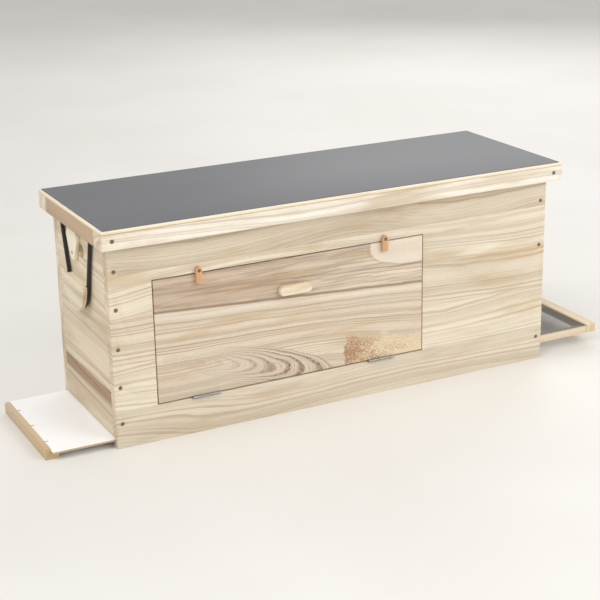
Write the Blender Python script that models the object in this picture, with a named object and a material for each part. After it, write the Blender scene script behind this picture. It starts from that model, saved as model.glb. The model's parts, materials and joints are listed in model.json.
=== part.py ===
"""Long horizontal beehive: a box with an insulated lid, an observation door, a tray and a mesh floor.

Metres, +Z up. The box is centred on the origin in X and Y and stands on Z = 0; the observation door faces -Y.
"""
import math

import bmesh
import bpy
from mathutils import Matrix, Vector

# ---------------------------------------------------------------- driving dimensions
GAP = 0.0003                      # air between pieces that touch

BOX_LENGTH = 1.000
BOX_WIDTH = 0.306
BOX_TOP = 0.411
BOARD = 0.020                     # front and back boards
END_BOARD = 0.025                 # boards across the two ends
INNER_X = BOX_LENGTH / 2 - END_BOARD
INNER_Y = BOX_WIDTH / 2 - BOARD
FRONT = -BOX_WIDTH / 2            # the front board's outer face
SCREW_X = 0.487                   # the screw columns, along the box

TRAY_SLOT_LOW = 0.0140
TRAY_SLOT_HIGH = 0.0195
TRAY_SLOT_DEPTH = 0.0123
TRAY_PLATE_LENGTH = 0.969
TRAY_PLATE_LOW = 0.0145
TRAY_PLATE_HIGH = 0.0190
TRAY_LATH_X = (-0.639, -0.628, -0.612)      # outer face, face of the step, inner end of the ledge
TRAY_LATH_TOP = 0.0235

MESH_OUT = 0.168                  # how far the mesh frame stands out at rest
MESH_LOW = 0.0250
MESH_RAIL_TOP = 0.0410
MESH_RAIL_WIDTH = 0.015
MESH_INNER_RAIL = 0.025
MESH_WIRE = 0.0012
MESH_LATH_WIDTH = 0.026
MESH_LATH_TOP = 0.0447
MESH_HALF_WIDTH = 0.132
RUNNER_LOW = 0.0200
RUNNER_WIDTH = 0.015
GUIDE_LOW = 0.0450
GUIDE_HIGH = 0.0550
GUIDE_WIDTH = 0.009
CROSSPIECES = (("left", -0.33), ("middle", 0.0), ("right", 0.33))
CROSSPIECE_HALF = 0.020

DOOR_CENTRE_X = -0.110
DOOR_WIDTH = 0.600
DOOR_LOW = 0.0782
DOOR_HIGH = 0.3300
DOOR_THICK = 0.012
DOOR_GAP = 0.0023
POCKET_LOW = 0.0750
POCKET_HIGH = 0.3325
WINDOW_HALF = 0.285
WINDOW_LOW = 0.093
WINDOW_HIGH = 0.315
PANE_THICK = 0.003
PANE_LAP = 0.010
PANE_HOLE_RADIUS = 0.0017         # screws just outside the pane, whose heads hold its edge
PANE_HOLE_STEP = 0.0025
PANE_HOLE_X = (-0.24, -0.08, 0.08, 0.24)

HINGE_X = 0.199                   # hinges and turn buttons, each side of the door's middle
HINGE_LENGTH = 0.060
BARREL_RADIUS = 0.00275
HINGE_AXIS_Y = FRONT - BARREL_RADIUS - 0.0002
HINGE_AXIS_Z = 0.0766
PIN_RADIUS = 0.0010
PIN_PROUD = 0.0004
LEAF_THICK = 0.0010
KNUCKLE_SIDES = 20

BUTTON_X = 0.207
BUTTON_WIDTH = 0.012
BUTTON_LOW = 0.312
BUTTON_HIGH = 0.345
BUTTON_PIVOT_Z = 0.338
BUTTON_THICK = 0.009

PIVOT_SUNK = 0.0003               # the heads that the turn buttons and the cover turn on

PULL_LENGTH = 0.073
PULL_HEIGHT = 0.0205
PULL_THICK = 0.012
PULL_Z = 0.266
PULL_SCREW_X = 0.020

ENTRANCE_Y = -0.010
ENTRANCE_Z = 0.366
ENTRANCE_RADIUS = 0.014
COVER_PIVOT = (0.022, 0.356)      # Y, Z on the left end
COVER_THICK = 0.008
COVER_SHOULDERS = ((0.032, 0.033), (0.022, 0.047), (-0.022, 0.047), (-0.032, 0.033))
COVER_FOOT_RADIUS = 0.015
COVER_FOOT_ANGLE = 25

CLEAT_Z = 0.308                   # the flat tops of the cleats
CLEAT_SCREW_Y = 0.026
CLEAT_SCREW_Z = 0.290
CLEAT_HUB_RADIUS = 0.050
CLEAT_FLANGE_RADIUS = 0.063
CLEAT_HUB_THICK = 0.010
CLEAT_FLANGE_THICK = 0.0085
CORD_RADIUS = 0.0044
CORD_X = BOX_LENGTH / 2 + 0.005
CORD_TOP_Y = 0.083
CORD_END_DROP = 0.0035             # lets the end of the cord swing without meeting the lid

LID_LENGTH = 1.036
LID_WIDTH = 0.366
LID_RIM_WIDTH = 0.042
LID_LOW = BOX_TOP + GAP
LID_RIM_TOP = 0.4427
LID_PANEL_TOP = 0.4490
LID_TOP = 0.4503
LID_BEVEL = 0.003
LID_FACING_INSET = 0.0045
SOFTBOARD_LOW = 0.3985            # the insulation hangs this far down into the box
SOFTBOARD_CLEAR = 0.006
LID_SCREW_X = 0.497
LID_SCREW_Z = 0.429
BRAD_Y = 0.079
BRAD_Z = 0.420

FRAME_COUNT = 6
FRAME_FIRST_X = -0.446
FRAME_PITCH = 0.036
FRAME_THICK = 0.022
FRAME_HALF_WIDTH = 0.125
FRAME_LUG_HALF = 0.140
FRAME_LOW = 0.065
FRAME_TOP = 0.395
TOP_BAR = 0.020
TOP_BAR_DROP = 0.003              # the top bar is thicker between the side bars than at its lugs
SIDE_BAR = 0.008
FOUNDATION_THICK = 0.003
REBATE_DEPTH = 0.0083
REBATE_LOW = 0.3747
DIVIDER_X = -0.230
DIVIDER_THICK = 0.018

SCREW_SIDES = 12

# Screws as (length, head radius, shank radius)
BOARD_SCREW = (0.042, 0.0040, 0.0020)
PULL_SCREW = (0.018, 0.0035, 0.0017)
CLEAT_SCREW = (0.036, 0.0035, 0.0018)
LID_SCREW = (0.070, 0.0042, 0.0020)
BRAD = (0.024, 0.0012, 0.0009)
BRAD_SUNK = 0.0004
PIVOT_SCREW = (0.024, 0.0034, 0.0018)
SCREW_SUNK = 0.0008               # how deep a head sits under the wood's face


# ---------------------------------------------------------------- scene and materials
def clear_scene():
    for item in list(bpy.data.objects):
        bpy.data.objects.remove(item, do_unlink=True)


def new_collection(name):
    collection = bpy.data.collections.new(name)
    bpy.context.scene.collection.children.link(collection)
    return collection


def material(name, colour, roughness, metallic=0.0, alpha=1.0):
    found = bpy.data.materials.new(name)
    found.use_nodes = True
    shader = found.node_tree.nodes["Principled BSDF"]
    shader.inputs["Base Color"].default_value = (*colour, 1.0)
    shader.inputs["Roughness"].default_value = roughness
    shader.inputs["Metallic"].default_value = metallic
    shader.inputs["Alpha"].default_value = alpha
    return found


# ---------------------------------------------------------------- building blocks
def place(name, mesh, finish, centre=(0.0, 0.0, 0.0), rotation=None):
    """A named object in the hive's collection, with its own finish."""
    item = bpy.data.objects.new(name, mesh)
    item.location = centre
    if rotation is not None:
        item.rotation_euler = rotation.to_euler()
    mesh.materials.clear()
    mesh.materials.append(finish)
    PARTS.objects.link(item)
    return item


def box(name, low, high, finish):
    """A board from its lowest to its highest corner."""
    size = [h - l for l, h in zip(low, high)]
    centre = [(h + l) / 2 for l, h in zip(low, high)]
    mesh = bpy.data.meshes.new(name)
    shape = bmesh.new()
    bmesh.ops.create_cube(shape, size=1.0, matrix=Matrix.Diagonal((*size, 1.0)))
    shape.to_mesh(mesh)
    shape.free()
    return place(name, mesh, finish, centre)


def outline_mesh(name, points, thickness, hole=()):
    """A flat outline with at most one hole, thickened along Z, as a closed mesh."""
    curve = bpy.data.curves.new(name, "CURVE")
    curve.dimensions = "2D"
    curve.fill_mode = "BOTH"
    curve.extrude = thickness / 2
    for loop in filter(None, (points, hole)):
        spline = curve.splines.new("POLY")
        spline.points.add(len(loop) - 1)
        for point, (x, y) in zip(spline.points, loop):
            point.co = (x, y, 0.0, 1.0)
        spline.use_cyclic_u = True
    holder = bpy.data.objects.new(name, curve)
    PARTS.objects.link(holder)
    bpy.context.view_layer.update()
    mesh = bpy.data.meshes.new_from_object(holder.evaluated_get(bpy.context.evaluated_depsgraph_get()))
    bpy.data.objects.remove(holder, do_unlink=True)
    shape = bmesh.new()
    shape.from_mesh(mesh)
    bmesh.ops.remove_doubles(shape, verts=shape.verts, dist=0.00001)
    bmesh.ops.recalc_face_normals(shape, faces=shape.faces)
    shape.to_mesh(mesh)
    shape.free()
    return mesh


def arc(radius, start, end, steps, centre=(0.0, 0.0)):
    """Points on an arc, both ends included; the angles are in degrees."""
    turn = math.radians(end - start) / steps
    first = math.radians(start)
    return [
        (centre[0] + radius * math.cos(first + turn * i), centre[1] + radius * math.sin(first + turn * i))
        for i in range(steps + 1)
    ]


# Outlines are drawn in XY; these turn that plane to face along the hive's X or Y.
FACING_X = Matrix(((0, 0, 1), (1, 0, 0), (0, 1, 0)))       # outline X -> Y, outline Y -> Z
FACING_Y = Matrix(((1, 0, 0), (0, 0, -1), (0, 1, 0)))      # outline X -> X, outline Y -> Z


def turned(shape, profile, sides, matrix):
    """Adds the solid of a profile of (radius, height) points, turned about its own Z axis."""
    verts = [shape.verts.new((radius, 0.0, height)) for radius, height in profile]
    edges = [shape.edges.new(pair) for pair in zip(verts, verts[1:])]
    bmesh.ops.spin(
        shape, geom=verts + edges, cent=(0, 0, 0), axis=(0, 0, 1), angle=math.tau, steps=sides, use_merge=True
    )
    fresh = [v for v in shape.verts if not v.tag]
    bmesh.ops.transform(shape, matrix=matrix, verts=fresh)
    for v in fresh:
        v.tag = True


def turned_group(name, profile, matrices, sides=SCREW_SIDES):
    """One mesh with the same turned solid at each of several places."""
    shape = bmesh.new()
    for matrix in matrices:
        turned(shape, profile, sides, matrix)
    bmesh.ops.remove_doubles(shape, verts=shape.verts, dist=0.00001)
    bmesh.ops.recalc_face_normals(shape, faces=shape.faces)
    mesh = bpy.data.meshes.new(name)
    shape.to_mesh(mesh)
    shape.free()
    return mesh


def smooth(item):
    item.data.shade_smooth()
    item.data.set_sharp_from_angle(angle=math.radians(30))
    return item


def cut(item, cutter_mesh):
    """Takes a cutter's shape, given in world coordinates, out of a piece."""
    cutter = bpy.data.objects.new(item.name + "_cutter", cutter_mesh)
    cutter.hide_render = True
    cutter.display_type = "WIRE"
    CUTTERS.objects.link(cutter)
    modifier = item.modifiers.new("cut", "BOOLEAN")
    modifier.object = cutter
    modifier.operation = "DIFFERENCE"
    modifier.solver = "EXACT"


def box_cutter(name, boxes):
    """One cutter mesh with several boxes in it, each from its lowest to its highest corner."""
    shape = bmesh.new()
    for low, high in boxes:
        size = [h - l for l, h in zip(low, high)]
        centre = Vector([(h + l) / 2 for l, h in zip(low, high)])
        place = Matrix.Translation(centre) @ Matrix.Diagonal((*size, 1.0))
        bmesh.ops.create_cube(shape, size=1.0, matrix=place)
    mesh = bpy.data.meshes.new(name)
    shape.to_mesh(mesh)
    shape.free()
    return mesh


def aim(point, direction):
    """A matrix that puts a turned solid's foot at a point with its own +Z along a direction."""
    turn = Vector((0, 0, 1)).rotation_difference(Vector(direction)).to_matrix().to_4x4()
    return Matrix.Translation(Vector(point)) @ turn


def screw_profile(size, grow=0.0):
    """A countersunk screw: its head's face is at height 0 and its shank runs down. grow gives its hole."""
    length, head_radius, shank_radius = size
    top = SCREW_SUNK + 0.0005 if grow else 0.0
    head = head_radius + grow
    shank = shank_radius + grow
    return (
        (0.0, top),
        (head, top),
        (head, -0.0006 - grow),
        (shank, -0.0006 - grow - (head_radius - shank_radius)),
        (shank, -length - grow),
        (0.0, -length - grow),
    )


def drill(places, size, pieces):
    """Cuts a countersunk hole for a screw at each place, in each piece that the screws pass."""
    matrices = [aim(point, direction) for point, direction in places]
    profile = screw_profile(size, GAP)
    for piece in pieces:
        cut(piece, turned_group(piece.name + "_holes", profile, matrices))


def pivot_screw(name, point, direction, pieces, finish):
    """One screw that a small wooden piece turns on, and its hole in the pieces that it passes."""
    matrix = aim(point, direction)
    smooth(place(name, turned_group(name, screw_profile(PIVOT_SCREW), [matrix]), finish))
    drill([(point, direction)], PIVOT_SCREW, pieces)


# ---------------------------------------------------------------- the box
def build_boards(wood):
    boards = {}
    for name, side in (("front_board", -1), ("back_board", 1)):
        outer = side * BOX_WIDTH / 2
        inner = side * INNER_Y
        low = (-BOX_LENGTH / 2, min(outer, inner), 0.0)
        high = (BOX_LENGTH / 2, max(outer, inner), BOX_TOP)
        board = box(name, low, high, wood)
        groove = side * (INNER_Y + TRAY_SLOT_DEPTH)
        rebate = side * (INNER_Y + REBATE_DEPTH)
        clear = side * (INNER_Y - 0.002)
        cutter = box_cutter(
            name + "_grooves",
            (
                (
                    (-BOX_LENGTH / 2 - 0.002, min(groove, clear), TRAY_SLOT_LOW),
                    (INNER_X, max(groove, clear), TRAY_SLOT_HIGH),
                ),
                (
                    (-INNER_X - GAP, min(rebate, clear), REBATE_LOW),
                    (INNER_X + GAP, max(rebate, clear), BOX_TOP + 0.002),
                ),
            ),
        )
        cut(board, cutter)
        boards[name] = board
    cut_door_opening(boards["front_board"])

    half = INNER_Y - GAP
    left = box(
        "left_end_board",
        (-BOX_LENGTH / 2, -half, TRAY_SLOT_HIGH + GAP),
        (-INNER_X, half, BOX_TOP),
        wood,
    )
    hole = aim((-BOX_LENGTH / 2 - 0.005, ENTRANCE_Y, ENTRANCE_Z), (1, 0, 0))
    depth = END_BOARD + 0.01
    profile = ((0.0, 0.0), (ENTRANCE_RADIUS, 0.0), (ENTRANCE_RADIUS, depth), (0.0, depth))
    cut(left, turned_group("entrance_hole", profile, [hole], 32))
    boards["left_end_board"] = left
    boards["right_end_board"] = box(
        "right_end_board", (INNER_X, -half, MESH_LATH_TOP + 2 * GAP), (BOX_LENGTH / 2, half, BOX_TOP), wood
    )
    boards["right_bottom_rail"] = box(
        "right_bottom_rail", (INNER_X, -half, 0.0), (BOX_LENGTH / 2, half, RUNNER_LOW - GAP), wood
    )
    return boards


def cut_door_opening(board):
    """The pocket that the door shuts into, the window behind it and the pane's rebate inside."""
    pocket_floor = FRONT + DOOR_THICK + GAP
    pane_floor = -INNER_Y - PANE_THICK - GAP
    clear = 0.002
    lap = PANE_LAP + GAP
    steps = (
        ("pocket", DOOR_WIDTH / 2 + DOOR_GAP, FRONT - clear, pocket_floor, POCKET_LOW, POCKET_HIGH),
        ("window", WINDOW_HALF, FRONT - clear, -INNER_Y + clear, WINDOW_LOW, WINDOW_HIGH),
        ("rebate", WINDOW_HALF + lap, pane_floor, -INNER_Y + clear, WINDOW_LOW - lap, WINDOW_HIGH + lap),
    )
    for name, half, y_low, y_high, z_low, z_high in steps:
        low = (DOOR_CENTRE_X - half, y_low, z_low)
        high = (DOOR_CENTRE_X + half, y_high, z_high)
        cut(board, box_cutter(name, ((low, high),)))


def drill_boards(boards):
    """Holes for the screws through the front and back boards into the end boards."""
    rows = ((-SCREW_X, (0.360, 0.284, 0.204, 0.126, 0.051)), (SCREW_X, (0.363, 0.264, 0.0515)))
    places = []
    for side in (-1, 1):
        for x, heights in rows:
            for z in heights:
                places.append(((x, side * (BOX_WIDTH / 2 - SCREW_SUNK), z), (0, side, 0)))
    pieces = [boards[n] for n in ("front_board", "back_board", "left_end_board", "right_end_board")]
    drill(places, BOARD_SCREW, pieces)


def build_floor_supports(wood):
    """Crosspieces under the tray, and the strips that the mesh frame slides between."""
    half = INNER_Y - GAP
    for name, x in CROSSPIECES:
        low = (x - CROSSPIECE_HALF, -half, 0.0)
        box(f"crosspiece_{name}", low, (x + CROSSPIECE_HALF, half, TRAY_SLOT_LOW - 0.002), wood)
    for name, side in (("front", -1), ("back", 1)):
        for kind, z_low, z_high, width, x_high in (
            ("runner", RUNNER_LOW, MESH_LOW - GAP, RUNNER_WIDTH, BOX_LENGTH / 2),
            ("guide", GUIDE_LOW, GUIDE_HIGH, GUIDE_WIDTH, INNER_X - GAP),
        ):
            ys = sorted((side * (INNER_Y - GAP), side * (INNER_Y - GAP - width)))
            box(f"mesh_{kind}_{name}", (-INNER_X + GAP, ys[0], z_low), (x_high, ys[1], z_high), wood)


def build_pane(clear_sheet, front_board):
    middle = DOOR_CENTRE_X
    half = WINDOW_HALF + PANE_LAP
    box(
        "window_pane",
        (middle - half, -INNER_Y - PANE_THICK, WINDOW_LOW - PANE_LAP),
        (middle + half, -INNER_Y, WINDOW_HIGH + PANE_LAP),
        clear_sheet,
    )
    places = []
    for z in (WINDOW_LOW - PANE_LAP - PANE_HOLE_STEP, WINDOW_HIGH + PANE_LAP + PANE_HOLE_STEP):
        for x in PANE_HOLE_X:
            places.append(((middle + x, -INNER_Y, z), (0, 1, 0)))
    depth = -0.0060
    profile = ((0.0, 0.002), (PANE_HOLE_RADIUS, 0.002), (PANE_HOLE_RADIUS, depth), (0.0, depth))
    matrices = [aim(point, direction) for point, direction in places]
    cut(front_board, turned_group("pane_screw_holes", profile, matrices))


# ---------------------------------------------------------------- the door
def build_hinges(steel):
    """Two butt hinges: outer knuckles on the sill's leaf, the middle one on the door's leaf, a pin each."""
    third = HINGE_LENGTH / 3
    edge = (third - GAP) / 2
    middle_knuckle = ((-edge, edge),)
    outer_knuckles = ((-HINGE_LENGTH / 2, -edge - GAP), (edge + GAP, HINGE_LENGTH / 2))
    length = HINGE_LENGTH + 2 * PIN_PROUD
    pin = ((0.0, 0.0), (PIN_RADIUS, 0.0), (PIN_RADIUS, length), (0.0, length))
    for side, name in ((-1, "left"), (1, "right")):
        middle = DOOR_CENTRE_X + side * HINGE_X
        hinge_leaf(f"hinge_{name}_fixed_leaf", middle, POCKET_LOW + GAP, outer_knuckles, steel)
        hinge_leaf(f"hinge_{name}_door_leaf", middle, DOOR_LOW - GAP - LEAF_THICK, middle_knuckle, steel)
        start = aim((middle - HINGE_LENGTH / 2 - PIN_PROUD, HINGE_AXIS_Y, HINGE_AXIS_Z), (1, 0, 0))
        smooth(place(f"hinge_{name}_pin", turned_group(f"hinge_{name}_pin", pin, [start], 16), steel))


def hinge_leaf(name, middle, low, knuckles, finish):
    """A leaf under the door, with a tongue out to each knuckle, and knuckles that are tubes round the pin."""
    high = low + LEAF_THICK
    back = FRONT + DOOR_THICK - 0.001
    inset = HINGE_LENGTH / 2 - 0.0005
    tongues = [
        ((middle + start, HINGE_AXIS_Y, low), (middle + end, back, high)) for start, end in knuckles
    ]
    leaf = place(name, box_cutter(name, tongues), finish)
    plate = ((middle - inset, FRONT + 0.0005, low), (middle + inset, back + 0.0005, high))
    join(leaf, box_cutter(name + "_plate", (plate,)))
    tubes = [(middle + start, end - start, BARREL_RADIUS) for start, end in knuckles]
    bores = [(middle + start - 0.001, end - start + 0.002, PIN_RADIUS + 0.0002) for start, end in knuckles]
    join(leaf, cylinders_along_x(name + "_knuckles", tubes))
    cut(leaf, cylinders_along_x(name + "_bore", bores))
    return smooth(leaf)


def cylinders_along_x(name, items):
    shape = bmesh.new()
    for start, length, radius in items:
        profile = ((0.0, 0.0), (radius, 0.0), (radius, length), (0.0, length))
        turned(shape, profile, KNUCKLE_SIDES, aim((start, HINGE_AXIS_Y, HINGE_AXIS_Z), (1, 0, 0)))
    bmesh.ops.remove_doubles(shape, verts=shape.verts, dist=0.00001)
    bmesh.ops.recalc_face_normals(shape, faces=shape.faces)
    mesh = bpy.data.meshes.new(name)
    shape.to_mesh(mesh)
    shape.free()
    return mesh


def join(item, extra_mesh):
    """Joins another closed shape, given in world coordinates, to a piece."""
    extra = bpy.data.objects.new(item.name + "_extra", extra_mesh)
    extra.hide_render = True
    extra.display_type = "WIRE"
    CUTTERS.objects.link(extra)
    modifier = item.modifiers.new("join", "BOOLEAN")
    modifier.object = extra
    modifier.operation = "UNION"
    modifier.solver = "EXACT"


def build_door(wood, pull_wood):
    middle = DOOR_CENTRE_X
    panel = box(
        "door_panel",
        (middle - DOOR_WIDTH / 2, FRONT, DOOR_LOW),
        (middle + DOOR_WIDTH / 2, FRONT + DOOR_THICK, DOOR_HIGH),
        wood,
    )
    half = PULL_LENGTH / 2
    radius = PULL_HEIGHT / 2
    straight = half - radius
    outline = arc(radius, -90, 90, 10, (straight, 0.0)) + arc(radius, 90, 270, 10, (-straight, 0.0))
    pull = place(
        "door_pull",
        outline_mesh("door_pull", outline, PULL_THICK),
        pull_wood,
        (middle, FRONT - GAP - PULL_THICK / 2, PULL_Z),
        FACING_Y,
    )
    smooth(pull)
    places = []
    for x in (-PULL_SCREW_X, PULL_SCREW_X):
        places.append(((middle + x, FRONT + DOOR_THICK - SCREW_SUNK, PULL_Z), (0, 1, 0)))
    drill(places, PULL_SCREW, [panel, pull])


def button_outline():
    """A turn button hanging from its pivot: rounded at the top, cut square at the foot."""
    radius = BUTTON_WIDTH / 2
    top = BUTTON_HIGH - BUTTON_PIVOT_Z - radius
    low = BUTTON_LOW - BUTTON_PIVOT_Z
    return [(-radius, low), (radius, low)] + arc(radius, 0, 180, 12, (0.0, top))


def build_pivots(button_wood, cover_wood, steel, boards):
    """The two turn buttons over the door and the entrance cover, each on one screw."""
    for side, name in ((-1, "left"), (1, "right")):
        x = DOOR_CENTRE_X + side * BUTTON_X
        y = FRONT - GAP - BUTTON_THICK
        button = place(
            f"turn_button_{name}",
            outline_mesh(f"turn_button_{name}", button_outline(), BUTTON_THICK),
            button_wood,
            (x, y + BUTTON_THICK / 2, BUTTON_PIVOT_Z),
            FACING_Y,
        )
        smooth(button)
        point = (x, y + PIVOT_SUNK, BUTTON_PIVOT_Z)
        pivot_screw(f"button_screw_{name}", point, (0, -1, 0), [button, boards["front_board"]], steel)
    outline = arc(COVER_FOOT_RADIUS, -180 + COVER_FOOT_ANGLE, -COVER_FOOT_ANGLE, 14) + list(COVER_SHOULDERS)
    x = -BOX_LENGTH / 2 - GAP - COVER_THICK
    cover = place(
        "entrance_cover",
        outline_mesh("entrance_cover", outline, COVER_THICK),
        cover_wood,
        (x + COVER_THICK / 2, *COVER_PIVOT),
        FACING_X,
    )
    smooth(cover)
    point = (x + PIVOT_SUNK, *COVER_PIVOT)
    pivot_screw("cover_screw", point, (-1, 0, 0), [cover, boards["left_end_board"]], steel)


# ---------------------------------------------------------------- lid fastening
def build_cleats(wood, boards):
    """A half-round cleat on each end, whose wider flange keeps the elastic loop on its hub."""
    pieces = [boards["left_end_board"], boards["right_end_board"]]
    places = []
    for side, name in ((-1, "left"), (1, "right")):
        face = side * (BOX_LENGTH / 2 + GAP)
        hub_reach = CLEAT_HUB_THICK + 0.002
        hub = outline_mesh(f"cleat_{name}", arc(CLEAT_HUB_RADIUS, -180, 0, 32), hub_reach)
        cleat = place(f"cleat_{name}", hub, wood, (face + side * hub_reach / 2, 0.0, CLEAT_Z), FACING_X)
        half_round = arc(CLEAT_FLANGE_RADIUS, -180, 0, 32)
        flange = outline_mesh(f"cleat_{name}_flange", half_round, CLEAT_FLANGE_THICK)
        centre = face + side * (CLEAT_HUB_THICK + CLEAT_FLANGE_THICK / 2)
        flange.transform(Matrix.Translation((centre, 0.0, CLEAT_Z)) @ FACING_X.to_4x4())
        join(cleat, flange)
        smooth(cleat)
        pieces.append(cleat)
        for y in (-CLEAT_SCREW_Y, CLEAT_SCREW_Y):
            places.append(((side * (INNER_X + SCREW_SUNK), y, CLEAT_SCREW_Z), (-side, 0, 0)))
    drill(places, CLEAT_SCREW, pieces)


def loop_route():
    """Half the loop's centre line, from the lid down one leg and round to the lowest point, as (Y, Z)."""
    radius = CLEAT_HUB_RADIUS + CORD_RADIUS + GAP
    reach = math.hypot(CORD_TOP_Y, LID_LOW - CLEAT_Z)
    bearing = math.degrees(math.atan2(LID_LOW - CLEAT_Z, CORD_TOP_Y))
    tangent = bearing - math.degrees(math.acos(radius / reach))
    touch = arc(radius, tangent, -90, 12, (0.0, CLEAT_Z))
    top = (CORD_TOP_Y, LID_LOW - CORD_END_DROP)
    leg = []
    for i in range(5):
        share = i / 5
        leg.append((top[0] + (touch[0][0] - top[0]) * share, top[1] + (touch[0][1] - top[1]) * share))
    return leg + touch


def build_loops(elastic):
    half = loop_route()
    whole = half + [(-y, z) for y, z in reversed(half[:-1])]
    for side, name in ((-1, "left"), (1, "right")):
        curve = bpy.data.curves.new(f"elastic_loop_{name}", "CURVE")
        curve.dimensions = "3D"
        curve.bevel_depth = CORD_RADIUS
        curve.bevel_resolution = 3
        curve.use_fill_caps = True
        spline = curve.splines.new("POLY")
        spline.points.add(len(whole) - 1)
        for point, (y, z) in zip(spline.points, whole):
            point.co = (side * CORD_X, y, z, 1.0)
        loop = bpy.data.objects.new(f"elastic_loop_{name}", curve)
        curve.materials.append(elastic)
        PARTS.objects.link(loop)


# ---------------------------------------------------------------- tray and mesh floor
def build_tray(wood, white):
    plate_start = TRAY_LATH_X[1] + GAP
    half = INNER_Y + TRAY_SLOT_DEPTH - 0.0008
    box(
        "tray_plate",
        (plate_start, -half, TRAY_PLATE_LOW),
        (plate_start + TRAY_PLATE_LENGTH, half, TRAY_PLATE_HIGH),
        white,
    )
    outer, step, inner = TRAY_LATH_X
    ledge = TRAY_PLATE_LOW - GAP
    profile = [
        (outer, GAP), (inner, GAP), (inner, ledge),
        (step, ledge), (step, TRAY_LATH_TOP), (outer, TRAY_LATH_TOP),
    ]
    place(
        "tray_lath",
        outline_mesh("tray_lath", profile, 2 * (INNER_Y - 0.001)),
        wood,
        (0.0, 0.0, 0.0),
        FACING_Y,
    )


def build_mesh_floor(wood, wire):
    """A wooden frame with steel mesh over its rails and a thicker lath across its outer end."""
    outer = BOX_LENGTH / 2 + MESH_OUT
    inner = -INNER_X + GAP + MESH_OUT
    lath = outer - MESH_LATH_WIDTH
    side = MESH_HALF_WIDTH
    box("mesh_end_lath", (lath, -side, MESH_LOW), (outer, side, MESH_LATH_TOP), wood)
    rail_inner = side - MESH_RAIL_WIDTH
    box("mesh_front_rail", (inner, -side, MESH_LOW), (lath - GAP, -rail_inner, MESH_RAIL_TOP), wood)
    box("mesh_back_rail", (inner, rail_inner, MESH_LOW), (lath - GAP, side, MESH_RAIL_TOP), wood)
    box(
        "mesh_inner_rail",
        (inner, -rail_inner + GAP, MESH_LOW),
        (inner + MESH_INNER_RAIL, rail_inner - GAP, MESH_RAIL_TOP),
        wood,
    )
    box(
        "mesh_sheet",
        (inner + 0.002, -side + 0.002, MESH_RAIL_TOP + GAP),
        (lath - GAP, side - 0.002, MESH_RAIL_TOP + GAP + MESH_WIRE),
        wire,
    )


# ---------------------------------------------------------------- lid
def build_lid(wood, ply, grey, softboard):
    half_x = LID_LENGTH / 2
    half_y = LID_WIDTH / 2
    inner_y = half_y - LID_RIM_WIDTH
    inner_x = half_x - LID_RIM_WIDTH
    rims = {}
    rims["front"] = box("lid_front_rim", (-half_x, -half_y, LID_LOW), (half_x, -inner_y, LID_RIM_TOP), wood)
    rims["back"] = box("lid_back_rim", (-half_x, inner_y, LID_LOW), (half_x, half_y, LID_RIM_TOP), wood)
    end_y = inner_y - GAP
    rims["left"] = box("lid_left_rim", (-half_x, -end_y, LID_LOW), (-inner_x, end_y, LID_RIM_TOP), wood)
    rims["right"] = box("lid_right_rim", (inner_x, -end_y, LID_LOW), (half_x, end_y, LID_RIM_TOP), wood)
    panel = box(
        "lid_panel", (-half_x, -half_y, LID_RIM_TOP + GAP), (half_x, half_y, LID_PANEL_TOP), ply
    )
    round_top_edges(panel)
    inset = LID_FACING_INSET
    box(
        "lid_facing",
        (-half_x + inset, -half_y + inset, LID_PANEL_TOP + GAP),
        (half_x - inset, half_y - inset, LID_TOP),
        grey,
    )
    box(
        "lid_insulation",
        (-inner_x + SOFTBOARD_CLEAR, -inner_y + SOFTBOARD_CLEAR / 2, SOFTBOARD_LOW),
        (inner_x - SOFTBOARD_CLEAR, inner_y - SOFTBOARD_CLEAR / 2, LID_RIM_TOP - GAP),
        softboard,
    )
    places = []
    for side in (-1, 1):
        for x in (-LID_SCREW_X, LID_SCREW_X):
            places.append(((x, side * (half_y - SCREW_SUNK), LID_SCREW_Z), (0, side, 0)))
    drill(places, LID_SCREW, rims.values())
    pins = []
    for side in (-1, 1):
        for y in (-BRAD_Y, BRAD_Y):
            pins.append(((side * (half_x - BRAD_SUNK), y, BRAD_Z), (side, 0, 0)))
    drill(pins, BRAD, (rims["left"], rims["right"]))


def round_top_edges(panel):
    """Bevels the panel's four upper edges, which show bare wood round the grey facing."""
    shape = bmesh.new()
    shape.from_mesh(panel.data)
    top = max(v.co.z for v in shape.verts)
    edges = [e for e in shape.edges if all(abs(v.co.z - top) < 0.0001 for v in e.verts)]
    bmesh.ops.bevel(shape, geom=edges, offset=LID_BEVEL, segments=2, profile=0.5, affect="EDGES")
    shape.to_mesh(panel.data)
    shape.free()


# ---------------------------------------------------------------- combs
def comb_outline():
    """A comb frame's outline with its two lugs, as (Y, Z)."""
    shoulder = FRAME_TOP - TOP_BAR
    return [
        (-FRAME_HALF_WIDTH, FRAME_LOW),
        (FRAME_HALF_WIDTH, FRAME_LOW),
        (FRAME_HALF_WIDTH, shoulder),
        (FRAME_LUG_HALF, shoulder),
        (FRAME_LUG_HALF, FRAME_TOP),
        (-FRAME_LUG_HALF, FRAME_TOP),
        (-FRAME_LUG_HALF, shoulder),
        (-FRAME_HALF_WIDTH, shoulder),
    ]


def build_combs(wood, wax):
    inner_half = FRAME_HALF_WIDTH - SIDE_BAR
    low = FRAME_LOW + SIDE_BAR
    high = FRAME_TOP - TOP_BAR - TOP_BAR_DROP
    window = [(-inner_half, low), (inner_half, low), (inner_half, high), (-inner_half, high)]
    for number in range(FRAME_COUNT):
        x = FRAME_FIRST_X + number * FRAME_PITCH
        name = f"comb_frame_{number + 1}"
        place(name, outline_mesh(name, comb_outline(), FRAME_THICK, window), wood, (x, 0.0, 0.0), FACING_X)
        box(
            f"foundation_{number + 1}",
            (x - FOUNDATION_THICK / 2, -inner_half + GAP, low + GAP),
            (x + FOUNDATION_THICK / 2, inner_half - GAP, high - GAP),
            wax,
        )


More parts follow.
